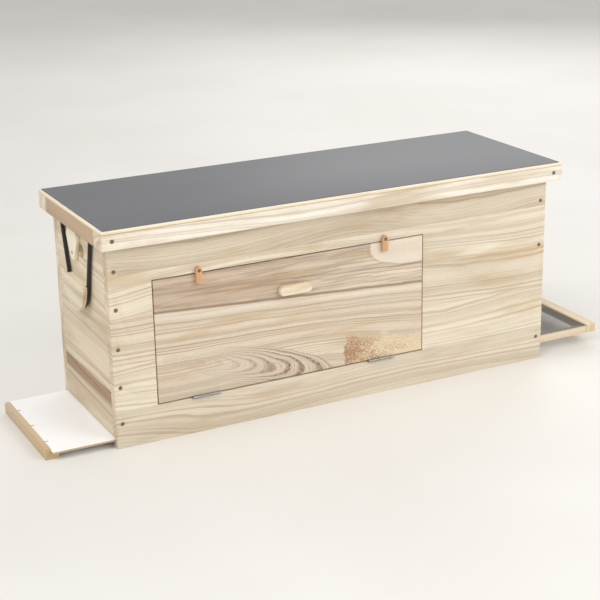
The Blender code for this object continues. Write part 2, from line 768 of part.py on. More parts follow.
def build_divider(wood):
    """The board that closes the brood space off, hung in the rebates by its two lugs."""
    shoulder = FRAME_TOP - TOP_BAR
    half = INNER_Y - 0.002
    outline = [
        (-half, FRAME_LOW - 0.004),
        (half, FRAME_LOW - 0.004),
        (half, shoulder),
        (FRAME_LUG_HALF, shoulder),
        (FRAME_LUG_HALF, FRAME_TOP),
        (-FRAME_LUG_HALF, FRAME_TOP),
        (-FRAME_LUG_HALF, shoulder),
        (-half, shoulder),
    ]
    mesh = outline_mesh("division_board", outline, DIVIDER_THICK)
    place("division_board", mesh, wood, (DIVIDER_X, 0.0, 0.0), FACING_X)


# ---------------------------------------------------------------- the hive
def main():
    pale = material("paulownia", (0.72, 0.62, 0.46), 0.62)
    rim_wood = material("paulownia_rim", (0.78, 0.68, 0.50), 0.60)
    door_wood = material("figured_paulownia", (0.58, 0.46, 0.35), 0.60)
    small_wood = material("beech", (0.62, 0.42, 0.24), 0.50)
    pull_wood = material("maple", (0.78, 0.66, 0.48), 0.50)
    inner_wood = material("inner_softwood", (0.66, 0.54, 0.37), 0.70)
    ply = material("birch_ply", (0.66, 0.52, 0.35), 0.60)
    grey = material("grey_film", (0.20, 0.20, 0.21), 0.45)
    softboard = material("softboard", (0.32, 0.22, 0.13), 0.95)
    white = material("white_board", (0.85, 0.85, 0.84), 0.40)
    steel = material("steel", (0.60, 0.60, 0.60), 0.35, 1.0)
    brown_steel = material("brown_screw", (0.16, 0.10, 0.06), 0.45, 0.8)
    wire = material("steel_mesh", (0.35, 0.36, 0.38), 0.45, 1.0)
    clear_sheet = material("clear_pane", (0.85, 0.90, 0.90), 0.05, 0.0, 0.35)
    elastic = material("black_elastic", (0.02, 0.018, 0.016), 0.75)
    wax = material("wax_foundation", (0.75, 0.50, 0.16), 0.55)

    boards = build_boards(pale)
    drill_boards(boards)
    build_floor_supports(inner_wood)
    build_pane(clear_sheet, boards["front_board"])
    build_hinges(steel)
    build_door(door_wood, pull_wood)
    build_pivots(small_wood, pull_wood, brown_steel, boards)
    build_cleats(pale, boards)
    build_loops(elastic)
    build_tray(rim_wood, white)
    build_mesh_floor(rim_wood, wire)
    build_lid(rim_wood, ply, grey, softboard)
    build_combs(inner_wood, wax)
    build_divider(inner_wood)
    bpy.context.view_layer.update()


clear_scene()
PARTS = new_collection("beehive")
CUTTERS = new_collection("cutters")
main()
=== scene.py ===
"""The finished look of a long horizontal beehive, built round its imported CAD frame.

Metres, +Z up, in the frame's own coordinates. The observation door faces -Y and the entrance end faces -X.
"""
import json
import logging
import math
from dataclasses import dataclass
from enum import Enum

import bmesh
import bpy
from mathutils import Matrix, Vector

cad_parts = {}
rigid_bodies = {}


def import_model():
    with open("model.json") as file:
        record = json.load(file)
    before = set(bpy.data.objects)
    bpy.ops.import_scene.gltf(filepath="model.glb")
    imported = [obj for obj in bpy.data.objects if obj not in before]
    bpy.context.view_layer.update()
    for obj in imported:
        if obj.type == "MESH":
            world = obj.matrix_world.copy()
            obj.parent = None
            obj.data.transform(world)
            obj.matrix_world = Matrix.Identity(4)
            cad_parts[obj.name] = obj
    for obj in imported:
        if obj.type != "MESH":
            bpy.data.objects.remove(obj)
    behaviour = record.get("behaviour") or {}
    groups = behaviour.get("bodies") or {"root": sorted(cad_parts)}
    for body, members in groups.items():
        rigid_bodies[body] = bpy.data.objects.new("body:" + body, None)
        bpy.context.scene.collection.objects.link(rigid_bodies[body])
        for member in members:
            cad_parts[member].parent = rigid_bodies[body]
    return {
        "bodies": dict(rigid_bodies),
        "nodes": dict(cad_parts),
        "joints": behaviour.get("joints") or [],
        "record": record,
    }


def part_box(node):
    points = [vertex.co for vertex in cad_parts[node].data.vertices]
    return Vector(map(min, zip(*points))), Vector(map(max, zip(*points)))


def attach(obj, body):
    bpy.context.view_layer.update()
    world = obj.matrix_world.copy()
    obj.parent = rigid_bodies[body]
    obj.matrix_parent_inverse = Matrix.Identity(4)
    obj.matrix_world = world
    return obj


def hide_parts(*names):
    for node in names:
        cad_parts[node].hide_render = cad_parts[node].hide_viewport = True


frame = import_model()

LOG = logging.getLogger("beehive")

Colour = tuple[float, float, float, float]
Span = tuple[float, float]
Triple = tuple[float, float, float]
Place = tuple[Vector, Vector]

NO_COLOUR = (1.0, 1.0, 1.0, 1.0)
SAME_POINT = 0.000002        # vertices closer than this are one
FLAT_TURN = 0.8              # degrees; faces that meet at less are one
SHARP_TURN = 35              # degrees; edges that turn more are eased
SHADE_TURN = 34              # degrees; edges that turn more are shaded sharp
FLAT_NORMAL = 0.99995        # faces this square to an axis are shaded flat
SHORTEST_EASED = 0.0022      # shorter edges stay as they are
HEAD_SUNK = 0.0008           # how deep a countersunk head sits
ON_FACE = 0.00005            # an outline's points lie this close to its face
HOLE_REACH = 0.80            # a hole's rim lies inside this share of the half size, measured slantwise
HOLE_SIDE = 0.72             # and inside this share of it along each side
RECESS_SIZE = 0.28           # the inset of a screw's cross, as a share of its flat top's radius
RECESS_WAIST = 0.42          # how far the cross narrows between its arms
RECESS_DEPTH = 0.32          # its depth, as a share of the head's radius
RECESS_TAPER = 0.75          # how much narrower its floor is
SENSOR_WIDTH = 36.0          # millimetres
WIRE_SIDES = 6               # the sides of a thin wire


def shade(red: int, green: int, blue: int) -> Colour:
    """Turns screen values from 0 to 255 into the linear colour that a shader takes.

    Args:
        red: The red value.
        green: The green value.
        blue: The blue value.

    Returns:
        The linear colour, with full alpha.
    """
    linear = []
    for value in (red, green, blue):
        share = value / 255
        linear.append(share / 12.92 if share <= 0.04045 else ((share + 0.055) / 1.055) ** 2.4)
    return (*linear, 1.0)


class Axis(Enum):
    """The way a piece's grain runs; the value orders its coordinates as along, through, up."""

    X = (0, 1, 2)
    Y = (1, 0, 2)
    Z = (2, 1, 0)


# ---------------------------------------------------------------- node recipes
class Value:
    """A number, vector or colour in a node tree, which takes plain arithmetic.

    Attributes:
        recipe: The node tree it belongs to.
        socket: The socket that gives it.
    """

    def __init__(self, recipe: "Recipe", socket: bpy.types.NodeSocket) -> None:
        """Wraps a socket."""
        self.recipe = recipe
        self.socket = socket

    def __add__(self, other: object) -> "Value":
        """Adds a value or a number."""
        return self.recipe.math("ADD", self, other)

    def __sub__(self, other: object) -> "Value":
        """Takes a value or a number away."""
        return self.recipe.math("SUBTRACT", self, other)

    def __mul__(self, other: object) -> "Value":
        """Multiplies by a value or a number."""
        return self.recipe.math("MULTIPLY", self, other)

    def __truediv__(self, other: object) -> "Value":
        """Divides by a value or a number."""
        return self.recipe.math("DIVIDE", self, other)

    def done(self, operation: str, *others: object) -> "Value":
        """Does any other operation of the Math node.

        Args:
            operation: The node's operation.
            *others: More values or numbers, in the node's order.

        Returns:
            The result.
        """
        return self.recipe.math(operation, self, *others)

    def within(self, low: float, high: float, start: float = 0.0, end: float = 1.0) -> "Value":
        """Maps it smoothly from one range to another, and holds it at the ends.

        Args:
            low: Where the result is start.
            high: Where the result is end.
            start: The first result.
            end: The last result.

        Returns:
            The mapped value.
        """
        node = self.recipe.add("ShaderNodeMapRange", interpolation_type="SMOOTHSTEP")
        return self.recipe.fed(node, self, low, high, start, end)

    def parts(self) -> list["Value"]:
        """Gives a vector's three numbers."""
        node = self.recipe.add("ShaderNodeSeparateXYZ")
        self.recipe.feed(node.inputs[0], self)
        return [Value(self.recipe, socket) for socket in node.outputs]

    def stretched(self, scale: Triple, shift: float = 0.0) -> "Value":
        """Scales a vector differently along its axes, then shifts it along all of them."""
        node = self.recipe.add("ShaderNodeMapping")
        node.inputs["Scale"].default_value = scale
        node.inputs["Location"].default_value = (shift, shift, shift)
        return self.recipe.fed(node, self)

    def noise(
        self, scale: float = 1.0, detail: float = 2.0, roughness: float = 0.5, line: bool = False
    ) -> "Value":
        """Gives smooth noise at a vector, or along a number.

        Args:
            scale: Its cells to the unit.
            detail: Its finer octaves.
            roughness: How strong those octaves are.
            line: Whether this is a number.

        Returns:
            The noise, about 0.5.
        """
        node = self.recipe.add("ShaderNodeTexNoise", noise_dimensions="1D" if line else "3D")
        self.recipe.feed(node.inputs["W" if line else "Vector"], self)
        node.inputs["Scale"].default_value = scale
        node.inputs["Detail"].default_value = detail
        node.inputs["Roughness"].default_value = roughness
        return Value(self.recipe, node.outputs[0])


class Recipe:
    """One material's node tree, written with short calls.

    Attributes:
        material: The material that the recipe fills.
        tree: Its node tree.
        shader: Its Principled shader.
        coords: The Texture Coordinate node.
    """

    def __init__(self, name: str) -> None:
        """Starts a material with that name."""
        self.material = bpy.data.materials.new(name)
        self.material.use_nodes = True
        self.tree = self.material.node_tree
        self.shader = self.tree.nodes["Principled BSDF"]
        self.coords = self.add("ShaderNodeTexCoord")

    def add(self, kind: str, **settings: object) -> bpy.types.Node:
        """Adds a node of that kind, with its settings."""
        node = self.tree.nodes.new(kind)
        for key, value in settings.items():
            setattr(node, key, value)
        return node

    def feed(self, socket: bpy.types.NodeSocket, source: object) -> None:
        """Links a value to a socket, or gives the socket a plain number or colour."""
        if isinstance(source, Value):
            self.tree.links.new(source.socket, socket)
        else:
            socket.default_value = source

    def fed(self, node: bpy.types.Node, *sources: object, output: int = 0) -> Value:
        """Feeds a node's first inputs in order.

        Args:
            node: The node.
            *sources: Values, numbers or colours.
            output: The number of the output that is given.

        Returns:
            That output.
        """
        for socket, source in zip(node.inputs, sources):
            self.feed(socket, source)
        return Value(self, node.outputs[output])

    def coordinate(self, kind: str = "Object") -> Value:
        """Gives a coordinate of each point of the surface."""
        return Value(self, self.coords.outputs[kind])

    def math(self, operation: str, *values: object) -> Value:
        """Works out one step of arithmetic."""
        return self.fed(self.add("ShaderNodeMath", operation=operation), *values)

    def vector(self, *parts: object) -> Value:
        """Joins three numbers into a vector."""
        return self.fed(self.add("ShaderNodeCombineXYZ"), *parts)

    def mix(self, factor: object, first: object, second: object, blend: str = "MIX") -> Value:
        """Mixes two colours.

        Args:
            factor: How much of the second colour there is.
            first: The first colour.
            second: The second colour.
            blend: The Mix node's blend type.

        Returns:
            The mixed colour.
        """
        node = self.add("ShaderNodeMix", data_type="RGBA", blend_type=blend)
        for index, source in ((0, factor), (6, first), (7, second)):
            self.feed(node.inputs[index], source)
        return Value(self, node.outputs[2])

    def steps(self, factor: object, stops: list[tuple[float, Colour]], smooth: bool = False) -> Value:
        """Looks a colour up along a scale from 0 to 1.

        Args:
            factor: The place on the scale.
            stops: Each colour, and where it starts, in rising order.
            smooth: Whether the colours run into each other.

        Returns:
            The colour.
        """
        node = self.add("ShaderNodeValToRGB")
        node.color_ramp.interpolation = "LINEAR" if smooth else "CONSTANT"
        elements = node.color_ramp.elements
        elements.remove(elements[1])
        elements[0].position = stops[0][0]
        elements[0].color = stops[0][1]
        for position, colour in stops[1:]:
            elements.new(position).color = colour
        return self.fed(node, factor)

    def bump(self, height: object, depth: float, strength: float) -> None:
        """Raises the surface by a height of 0 to 1 times a depth in metres."""
        node = self.add("ShaderNodeBump")
        node.inputs["Strength"].default_value = strength
        node.inputs["Distance"].default_value = depth
        self.feed(node.inputs["Height"], height)
        self.feed(self.shader.inputs["Normal"], Value(self, node.outputs[0]))

    def surface(self, colour: object, roughness: object, **fixed: float) -> bpy.types.Material:
        """Gives the shader its colour, roughness and any fixed values.

        Args:
            colour: The base colour.
            roughness: The roughness.
            **fixed: More inputs, with underscores for the spaces in their names.

        Returns:
            The finished material.
        """
        self.feed(self.shader.inputs["Base Color"], colour)
        self.feed(self.shader.inputs["Roughness"], roughness)
        for name, value in fixed.items():
            self.shader.inputs[name.replace("_", " ")].default_value = value
        return self.material


# ---------------------------------------------------------------- wood
@dataclass(frozen=True)
class Pattern:
    """Noise that runs along the grain.

    Attributes:
        stretch: Its cells to the metre along the grain, through the board and up it.
        shift: Sets it apart from the other patterns.
        detail: Its finer octaves.
        roughness: How strong those octaves are.
    """

    stretch: Triple
    shift: float = 0.0
    detail: float = 2.0
    roughness: float = 0.5


@dataclass(frozen=True)
class Layers:
    """One size of growth layer.

    Attributes:
        closeness: How many there are for each of the wood's own layers.
        detail: Its finer octaves.
        edge: Where it starts to darken and where it is darkest.
        strength: How much it darkens.
    """

    closeness: float
    detail: float
    edge: Span
    strength: float


@dataclass(frozen=True)
class Spot:
    """Any point of a board.

    Attributes:
        recipe: The board's node tree.
        along: How far along the grain it lies.
        through: How far through the board.
        up: How far up the board.
        seed: Moves the board's patterns.
    """

    recipe: Recipe
    along: Value
    through: Value
    up: Value
    seed: float

    def noise(self, pattern: Pattern) -> Value:
        """Reads a pattern."""
        here = self.recipe.vector(self.along, self.through, self.up)
        cells = here.stretched(pattern.stretch, self.seed + pattern.shift)
        return cells.noise(1.0, pattern.detail, pattern.roughness)

    def oval(self, middle: Span, reach: Span) -> tuple[Value, Value]:
        """Gives the place in an oval, along and up, where 1 is its edge."""
        return (self.along - middle[0]) / reach[0], (self.up - middle[1]) / reach[1]


@dataclass(frozen=True)
class Stave:
    """One glued stave of a board.

    Attributes:
        start: The height where it starts.
        light: How bright it is, about 1.
        brown: How much darker heartwood it has, from 0 to 1.
    """

    start: float
    light: float = 1.0
    brown: float = 0.0


LONG_BEND = Pattern((1.3, 5.0, 5.0), 0.0, 1.0)
SHORT_BEND = Pattern((7.0, 24.0, 24.0), 5.0)
SLOW = Pattern((2.2, 14.0, 14.0), 2.0)
PATCHES = Pattern((6.0, 60.0, 60.0), 4.0, 3.0, 0.6)
CLOUDS = Pattern((3.6, 20.0, 20.0), 11.0, 3.0, 0.55)
FIBRES = Pattern((70.0, 1500.0, 1500.0))
BROAD = Layers(0.8, 1.0, (0.36, 0.66), 0.34)
LINES = Layers(3.2, 2.0, (0.54, 0.68), 0.46)
FINE = Layers(9.0, 3.0, (0.44, 0.64), 0.52)
GLUE_LINE = 0.0005
END_SHADE = shade(236, 222, 200)


@dataclass(frozen=True)
class Timber:
    """Planed, uncoated wood, with growth layers round a pith, soft streaks, fibres and end grain.

    Attributes:
        name: The material's name.
        pale: The early wood's colour.
        tan: The late wood's colour.
        heart: The early wood's colour in the brownest staves.
        deep: The late wood's colour in the brownest staves.
        stain: The colour of the warm, ragged patches.
        grain: The way the grain runs.
        seed: Moves the figure, so that no two pieces match.
        streaks: How strongly the growth layers show.
        spacing: Growth layers to the metre.
        pith: How far the pith lies through the board from its face.
        wander: How far the layers wander off a straight line.
        staves: The glued staves, from the lowest up.
        top: The height of the piece's top.
        centre: The pith's height before it wanders.
    """

    name: str
    pale: Colour = shade(245, 235, 214)
    tan: Colour = shade(184, 158, 126)
    heart: Colour = shade(200, 170, 136)
    deep: Colour = shade(146, 114, 84)
    stain: Colour = shade(204, 176, 134)
    grain: Axis = Axis.X
    seed: float = 0.0
    streaks: float = 0.80
    spacing: float = 60.0
    pith: float = 0.10
    wander: float = 0.036
    staves: tuple[Stave, ...] = (Stave(0.0),)
    top: float = 0.46
    centre: float = 0.30

    def stave_values(self, spot: Spot) -> tuple[Value, Value, Value]:
        """Looks up what the stave at a spot is like.

        Args:
            spot: The spot.

        Returns:
            The stave's colour code, its glue line from 0 to 1, and a random vector of its own.
        """
        recipe = spot.recipe
        stops = []
        for number, stave in enumerate(self.staves):
            code = (stave.light / 2, stave.brown, (number * 0.37 + 0.13) % 1.0, 1.0)
            stops.append((stave.start / self.top, code))
        here = recipe.steps(spot.up / self.top, stops)
        above = recipe.steps((spot.up + GLUE_LINE) / self.top, stops)
        apart = recipe.fed(recipe.add("ShaderNodeVectorMath", operation="DISTANCE"), here, above, output=1)
        random = recipe.add("ShaderNodeTexWhiteNoise", noise_dimensions="4D")
        random.inputs["W"].default_value = self.seed
        return here, apart.done("GREATER_THAN", 0.001), recipe.fed(random, here, output=1)

    def radius(self, spot: Spot, chance: Value) -> Value:
        """Works out how far a spot lies from its stave's pith.

        Args:
            spot: The spot.
            chance: The stave's random vector.

        Returns:
            The distance.
        """
        recipe = spot.recipe
        here = recipe.vector(spot.along, spot.through, spot.up).stretched(LONG_BEND.stretch, self.seed)
        moved = recipe.fed(recipe.add("ShaderNodeVectorMath", operation="ADD"), here, chance)
        long_bend = moved.noise(1.0, LONG_BEND.detail) * (self.wander * 4)
        bend = long_bend + spot.noise(SHORT_BEND) * (self.wander * 0.28) + chance.parts()[0] * 0.22
        height = spot.up + bend - self.centre
        depth = spot.through + self.pith
        return (height * height + depth * depth).done("SQRT")

    def colours(self, spot: Spot, distance: Value, code: Value) -> tuple[Value, Value]:
        """Works out the colour from the growth layers and the slow changes along the board.

        Args:
            spot: The spot.
            distance: Its place among the layers.
            code: The stave's colour code.

        Returns:
            The colour, and how late the wood is, from 0 to 1.
        """
        recipe = spot.recipe
        slow = spot.noise(SLOW)
        patches = spot.noise(PATCHES)
        broad, lines, fine = [
            distance.noise(self.spacing * kind.closeness, kind.detail, line=True).within(*kind.edge)
            for kind in (BROAD, LINES, FINE)
        ]
        late = (
            broad * BROAD.strength + lines * slow.within(0.30, 0.62, 0.35, 1.1) * LINES.strength
            + fine * patches.within(0.30, 0.70) * FINE.strength
        )
        light, brown, _ = code.parts()
        early = recipe.mix(brown, self.pale, self.heart)
        colour = recipe.mix(late * self.streaks, early, recipe.mix(brown, self.tan, self.deep))
        warm = spot.noise(CLOUDS).within(0.50, 0.68) * patches.within(0.30, 0.62, 0.40, 1.0)
        colour = recipe.mix(warm * 0.58, colour, self.stain)
        value = light * (slow.within(0.25, 0.75, 1.84, 2.02) + patches.within(0.30, 0.75, -0.05, 0.05))
        return recipe.mix(1.0, colour, recipe.vector(value, value, value), "MULTIPLY"), late

    def build(self) -> bpy.types.Material:
        """Makes the material."""
        recipe = Recipe(self.name)
        parts = recipe.coordinate().parts()
        spot = Spot(recipe, *[parts[i] for i in self.grain.value], self.seed)
        code, line, chance = self.stave_values(spot)
        colour, late = self.colours(spot, self.radius(spot, chance), code)
        pores = spot.noise(FIBRES).within(0.60, 0.72)
        colour = recipe.mix(pores * 0.30, colour, self.tan)
        colour = recipe.mix(line * 0.45, colour, self.heart)
        facing = recipe.coordinate("Normal").parts()[self.grain.value[0]]
        end_grain = facing.done("ABSOLUTE").within(0.6, 0.9)
        colour = recipe.mix(end_grain * 0.35, colour, END_SHADE, "MULTIPLY")
        rough = late * 0.10 + 0.55 + end_grain * 0.15
        recipe.bump(late * 0.5 + pores * -0.5, 0.00018, 0.6)
        return recipe.surface(colour, rough, Specular_IOR_Level=0.30)


@dataclass(frozen=True)
class DoorFigure(Timber):
    """The door's one wide board: nested loops low down, a brown speckled patch and a pale corner.

    Attributes:
        tip: Where the loops meet at their left end, along and up.
        slant: How steeply the loops' middle line falls to the right.
        flatness: How much longer than high a loop is.
        loop_step: How much longer each loop is than the one inside it.
        longest: The length of the outermost loop.
        patch_left: Where the speckled patch starts.
        patch_top: How high the speckled patch is at its left end.
        patch_fall: How fast the patch's top falls to the right.
        corner: The middle of the pale corner, along and up.
        corner_reach: How far the pale corner reaches, along and up.
        seam: The height of the line between the greyer upper wood and the rest, at the frame's middle.
        seam_slope: How fast that line falls to the right.
        swelling: The middle of the place where the layers bulge over the loops.
        swelling_reach: How far the bulge reaches, along and up.
    """

    tip: Span = (-0.338, 0.152)
    slant: float = 0.25
    flatness: float = 4.0
    loop_step: float = 0.037
    longest: float = 0.315
    patch_left: float = 0.006
    patch_top: float = 0.137
    patch_fall: float = 0.12
    corner: Span = (0.200, 0.318)
    corner_reach: Span = (0.138, 0.043)
    seam: float = 0.2420
    seam_slope: float = 0.0575
    swelling: Span = (-0.09, 0.125)
    swelling_reach: Span = (0.22, 0.075)

    def radius(self, spot: Spot, chance: Value) -> Value:
        """Replaces the round layers by lines that run level and bulge over the loops.

        Args:
            spot: The spot.
            chance: The stave's random vector, which a single board has no use for.

        Returns:
            The place among the layers.
        """
        across, tall = spot.oval(self.swelling, self.swelling_reach)
        bulge = ((across * across + tall * tall) * -1.0).done("EXPONENT")
        bend = spot.noise(Pattern((2.4, 7.0, 7.0)))
        wrinkle = spot.noise(Pattern((14.0, 44.0, 44.0), 3.0))
        return self.level(spot) + bulge * -0.026 + bend * 0.022 + wrinkle * 0.0050 + spot.through * 0.4

    def level(self, spot: Spot) -> Value:
        """Gives a spot's height over a line that falls as the seam does."""
        return spot.up + spot.along * self.seam_slope

    def colours(self, spot: Spot, distance: Value, code: Value) -> tuple[Value, Value]:
        """Adds the greyer upper wood, the dark loops, the speckled patch and the pale corner.

        Args:
            spot: The spot.
            distance: Its place among the layers.
            code: The stave's colour code.

        Returns:
            The colour, and how late the wood is, from 0 to 1.
        """
        colour, late = super().colours(spot, distance, code)
        here = spot.recipe.vector(spot.along, spot.through, spot.up)
        wrinkle = spot.noise(Pattern((22.0, 40.0, 40.0), 7.0, 3.0))
        specks = here.stretched((330.0, 420.0, 420.0)).noise(1.0, 3.0, 0.65)
        colour = self.upper_wood(spot, colour, wrinkle)
        colour = self.loops(spot, colour, wrinkle, specks)
        colour = self.speckled(spot, colour, wrinkle, specks)
        return self.pale_corner(spot, colour, wrinkle), late

    def upper_wood(self, spot: Spot, colour: Value, wrinkle: Value) -> Value:
        """Greys the wood above the seam, and darkens the seam itself."""
        recipe = spot.recipe
        level = self.level(spot) + wrinkle * 0.003
        upper = level.within(self.seam + 0.0005, self.seam + 0.0025)
        rising = level.within(self.seam - 0.0035, self.seam + 0.0005)
        band = rising * level.within(self.seam + 0.001, self.seam + 0.006, 1.0, 0.0)
        light = (level.within(self.seam - 0.026, self.seam - 0.004) - rising) * 0.45
        colour = recipe.mix(light.done("MAXIMUM", 0.0), colour, shade(246, 236, 220))
        flat = recipe.vector(spot.along, 0.0, spot.up)
        thread = flat.stretched((9.0, 1.0, 230.0), self.seed + 13.0).noise(1.0, 3.0, 0.6)
        tone = recipe.mix(spot.along.within(-0.30, 0.10), shade(240, 231, 227), NO_COLOUR)
        colour = recipe.mix(upper * 0.90, colour, tone, "MULTIPLY")
        colour = recipe.mix(upper * thread.within(0.48, 0.62) * 0.50, colour, shade(158, 134, 116))
        return recipe.mix(band * 0.85, colour, shade(146, 120, 98))

    def loops(self, spot: Spot, colour: Value, wrinkle: Value, specks: Value) -> Value:
        """Draws the nested loops, which darken towards their right ends."""
        recipe = spot.recipe
        reach = spot.along - self.tip[0]
        tall = (spot.up - self.tip[1] + reach * self.slant) * self.flatness
        length = (reach * reach + tall * tall) / (reach.done("MAXIMUM", 0.0) + 0.012) + wrinkle * 0.030
        inside = length.within(self.longest, self.longest + 0.012, 1.0, 0.0)
        share = (length / self.loop_step).done("FRACT")
        ring = share.within(0.35, 0.84) * share.within(0.90, 1.0, 1.0, 0.0)
        thin = length.noise(230.0, 2.0, line=True).within(0.54, 0.64)
        ends = reach.within(0.05, 0.24, 0.25, 1.0)
        dark = ring * ends * specks.within(0.40, 0.60, 1.0, 0.45)
        lined = dark.done("MAXIMUM", thin * ends * 0.50)
        colour = recipe.mix(inside * reach.within(0.02, 0.12, 0.15, 0.72), colour, shade(222, 207, 188))
        return recipe.mix(lined * inside * 0.92, colour, shade(104, 66, 40))

    def speckled(self, spot: Spot, colour: Value, wrinkle: Value, specks: Value) -> Value:
        """Stains the lower right, thickest at its ragged left edge."""
        recipe = spot.recipe
        ragged = spot.along + wrinkle * 0.052 + specks * 0.006
        edge = ragged.within(self.patch_left + 0.027, self.patch_left + 0.031)
        roof = spot.up + (spot.along - self.patch_left) * self.patch_fall + wrinkle * 0.055 + specks * 0.010
        patch = edge * roof.within(self.patch_top + 0.026, self.patch_top + 0.042, 1.0, 0.0)
        fade = spot.along.within(self.patch_left, self.patch_left + 0.135, -0.06, 0.13)
        spots = (specks + (wrinkle - 0.5) * 0.35 - fade).within(0.38, 0.60)
        colour = recipe.mix(patch * 0.72, colour, shade(234, 214, 178))
        return recipe.mix(patch * spots * 0.74, colour, shade(148, 92, 54))

    def pale_corner(self, spot: Spot, colour: Value, wrinkle: Value) -> Value:
        """Fills the upper right corner with pale, even wood inside a thin line."""
        recipe = spot.recipe
        across, tall = spot.oval(self.corner, self.corner_reach)
        size = across.done("ABSOLUTE").done("POWER", 3.0) + tall * tall + wrinkle * 0.30
        inside = size.within(1.02, 1.16, 1.0, 0.0)
        rim = size.within(1.14, 1.30, 1.0, 0.0) - inside
        colour = recipe.mix(inside * 0.80, colour, shade(238, 226, 209))
        return recipe.mix(rim * 0.30, colour, shade(178, 156, 132))


# ---------------------------------------------------------------- other finishes
@dataclass(frozen=True)
class Plywood:
    """Thin birch plywood, with bare veneers on its edges.

    Attributes:
        low: The height of its underside.
        high: The height of its top.
    """

    low: float
    high: float

    def build(self) -> bpy.types.Material:
        """Makes the material."""
        recipe = Recipe("birch_ply")
        place = recipe.coordinate()
        share = (place.parts()[2] - self.low) / (self.high - self.low)
        pale = shade(244, 232, 206)
        veneers = [
            (0.0, shade(198, 166, 124)), (0.14, shade(226, 204, 170)), (0.30, pale),
            (0.52, shade(234, 216, 186)), (0.66, pale),
        ]
        grain = place.stretched((14.0, 14.0, 300.0)).noise(1.0, 3.0)
        colour = recipe.steps(share, veneers, smooth=True)
        colour = recipe.mix(grain.within(0.54, 0.72, 0.0, 0.32), colour, shade(186, 148, 104))
        recipe.bump(grain, 0.0002, 0.5)
        return recipe.surface(colour, grain.within(0.2, 0.8, 0.50, 0.62), Specular_IOR_Level=0.35)


@dataclass(frozen=True)
class Film:
    """A smooth, matt resin film, faintly mottled, with a few rubbed marks.

    Attributes:
        name: The material's name.
        colour: Its colour.
        rubbed: The colour of its marks.
        roughness: How matt it is.
        mottle: How strongly it is mottled.
    """

    name: str
    colour: Colour
    rubbed: Colour
    roughness: float
    mottle: float = 0.25

    def build(self) -> bpy.types.Material:
        """Makes the material."""
        recipe = Recipe(self.name)
        place = recipe.coordinate()
        clouds = place.stretched((3.0, 9.0, 9.0)).noise(1.0, 4.0, 0.6)
        rubs = place.stretched((5.0, 160.0, 20.0), 3.0).noise(1.0, 3.0)
        colour = recipe.mix(clouds.within(0.3, 0.75, 0.0, self.mottle), self.colour, self.rubbed)
        colour = recipe.mix(rubs.within(0.62, 0.80, 0.0, self.mottle), colour, self.rubbed)
        recipe.bump(place.noise(900.0, 2.0), 0.00004, 0.5)
        return recipe.surface(colour, clouds * 0.08 + self.roughness + rubs * 0.05)


@dataclass(frozen=True)
class Metal:
    """Plain metal with drawn or rolled marks and some dulling.

    Attributes:
        name: The material's name.
        colour: The bright metal.
        dulled: The dulled metal.
        roughness: How rough it is where it is bright.
        metallic: How metallic it is.
        scale: Its marks to the metre.
    """

    name: str
    colour: Colour
    dulled: Colour
    roughness: float
    metallic: float = 1.0
    scale: float = 400.0

    def build(self) -> bpy.types.Material:
        """Makes the material."""
        recipe = Recipe(self.name)
        place = recipe.coordinate()
        dull = place.noise(self.scale, 3.0, 0.6)
        colour = recipe.mix(dull.within(0.40, 0.70), self.colour, self.dulled)
        recipe.bump(place.stretched((0.15, 4.0, 4.0)).noise(self.scale, 2.0), 0.00003, 0.5)
        return recipe.surface(colour, dull * 0.18 + self.roughness, Metallic=self.metallic)


def softboard() -> bpy.types.Material:
    """Makes brown wood-fibre insulation board with loose fibres."""
    recipe = Recipe("softboard")
    place = recipe.coordinate()
    fibres = place.stretched((90.0, 260.0, 260.0)).noise(1.0, 5.0, 0.7)
    colour = recipe.mix(fibres.within(0.35, 0.70), shade(150, 116, 80), shade(190, 158, 118))
    colour = recipe.mix(place.noise(45.0, 3.0).within(0.55, 0.75, 0.0, 0.4), colour, shade(120, 90, 60))
    recipe.bump(fibres, 0.0012, 0.9)
    return recipe.surface(colour, fibres.within(0.2, 0.8, 0.88, 0.98))


def wax(cell: float = 0.0053) -> bpy.types.Material:
    """Makes pressed beeswax foundation with a honeycomb of cell bottoms.

    Args:
        cell: The distance between two cells.

    Returns:
        The material.
    """
    recipe = Recipe("wax_foundation")
    place = recipe.coordinate()
    _, across, up = place.parts()
    turn = math.tau / (cell * math.cos(math.radians(30)))
    waves = []
    for angle in (0.0, math.radians(60), math.radians(120)):
        waves.append((across * (turn * math.cos(angle)) + up * (turn * math.sin(angle))).done("COSINE"))
    cells = (waves[0] + waves[1] + waves[2]).within(-1.5, 1.2)
    cloud = place.noise(30.0, 3.0)
    colour = recipe.mix(cells, shade(214, 158, 62), shade(240, 198, 104))
    colour = recipe.mix(cloud.within(0.45, 0.75, 0.0, 0.35), colour, shade(190, 124, 48))
    recipe.bump(cells, 0.0006, 0.8)
    return recipe.surface(colour, cloud.within(0.2, 0.8, 0.42, 0.55), Subsurface_Weight=0.08)


def braid_cover() -> bpy.types.Material:
    """Makes a black braided cover, with its threads along the piece's own UV map."""
    recipe = Recipe("black_elastic")
    threads = recipe.coordinate("UV").stretched((2600.0, 90.0, 1.0)).noise(1.0, 2.0)
    dust = recipe.coordinate().noise(160.0, 3.0)
    colour = recipe.mix(threads.within(0.35, 0.70), shade(12, 10, 9), shade(34, 29, 25))
    colour = recipe.mix(dust.within(0.60, 0.80, 0.0, 0.16), colour, shade(84, 73, 62))
    recipe.bump(threads, 0.00015, 0.8)
    return recipe.surface(colour, threads.within(0.2, 0.8, 0.58, 0.75), Sheen_Weight=0.25)


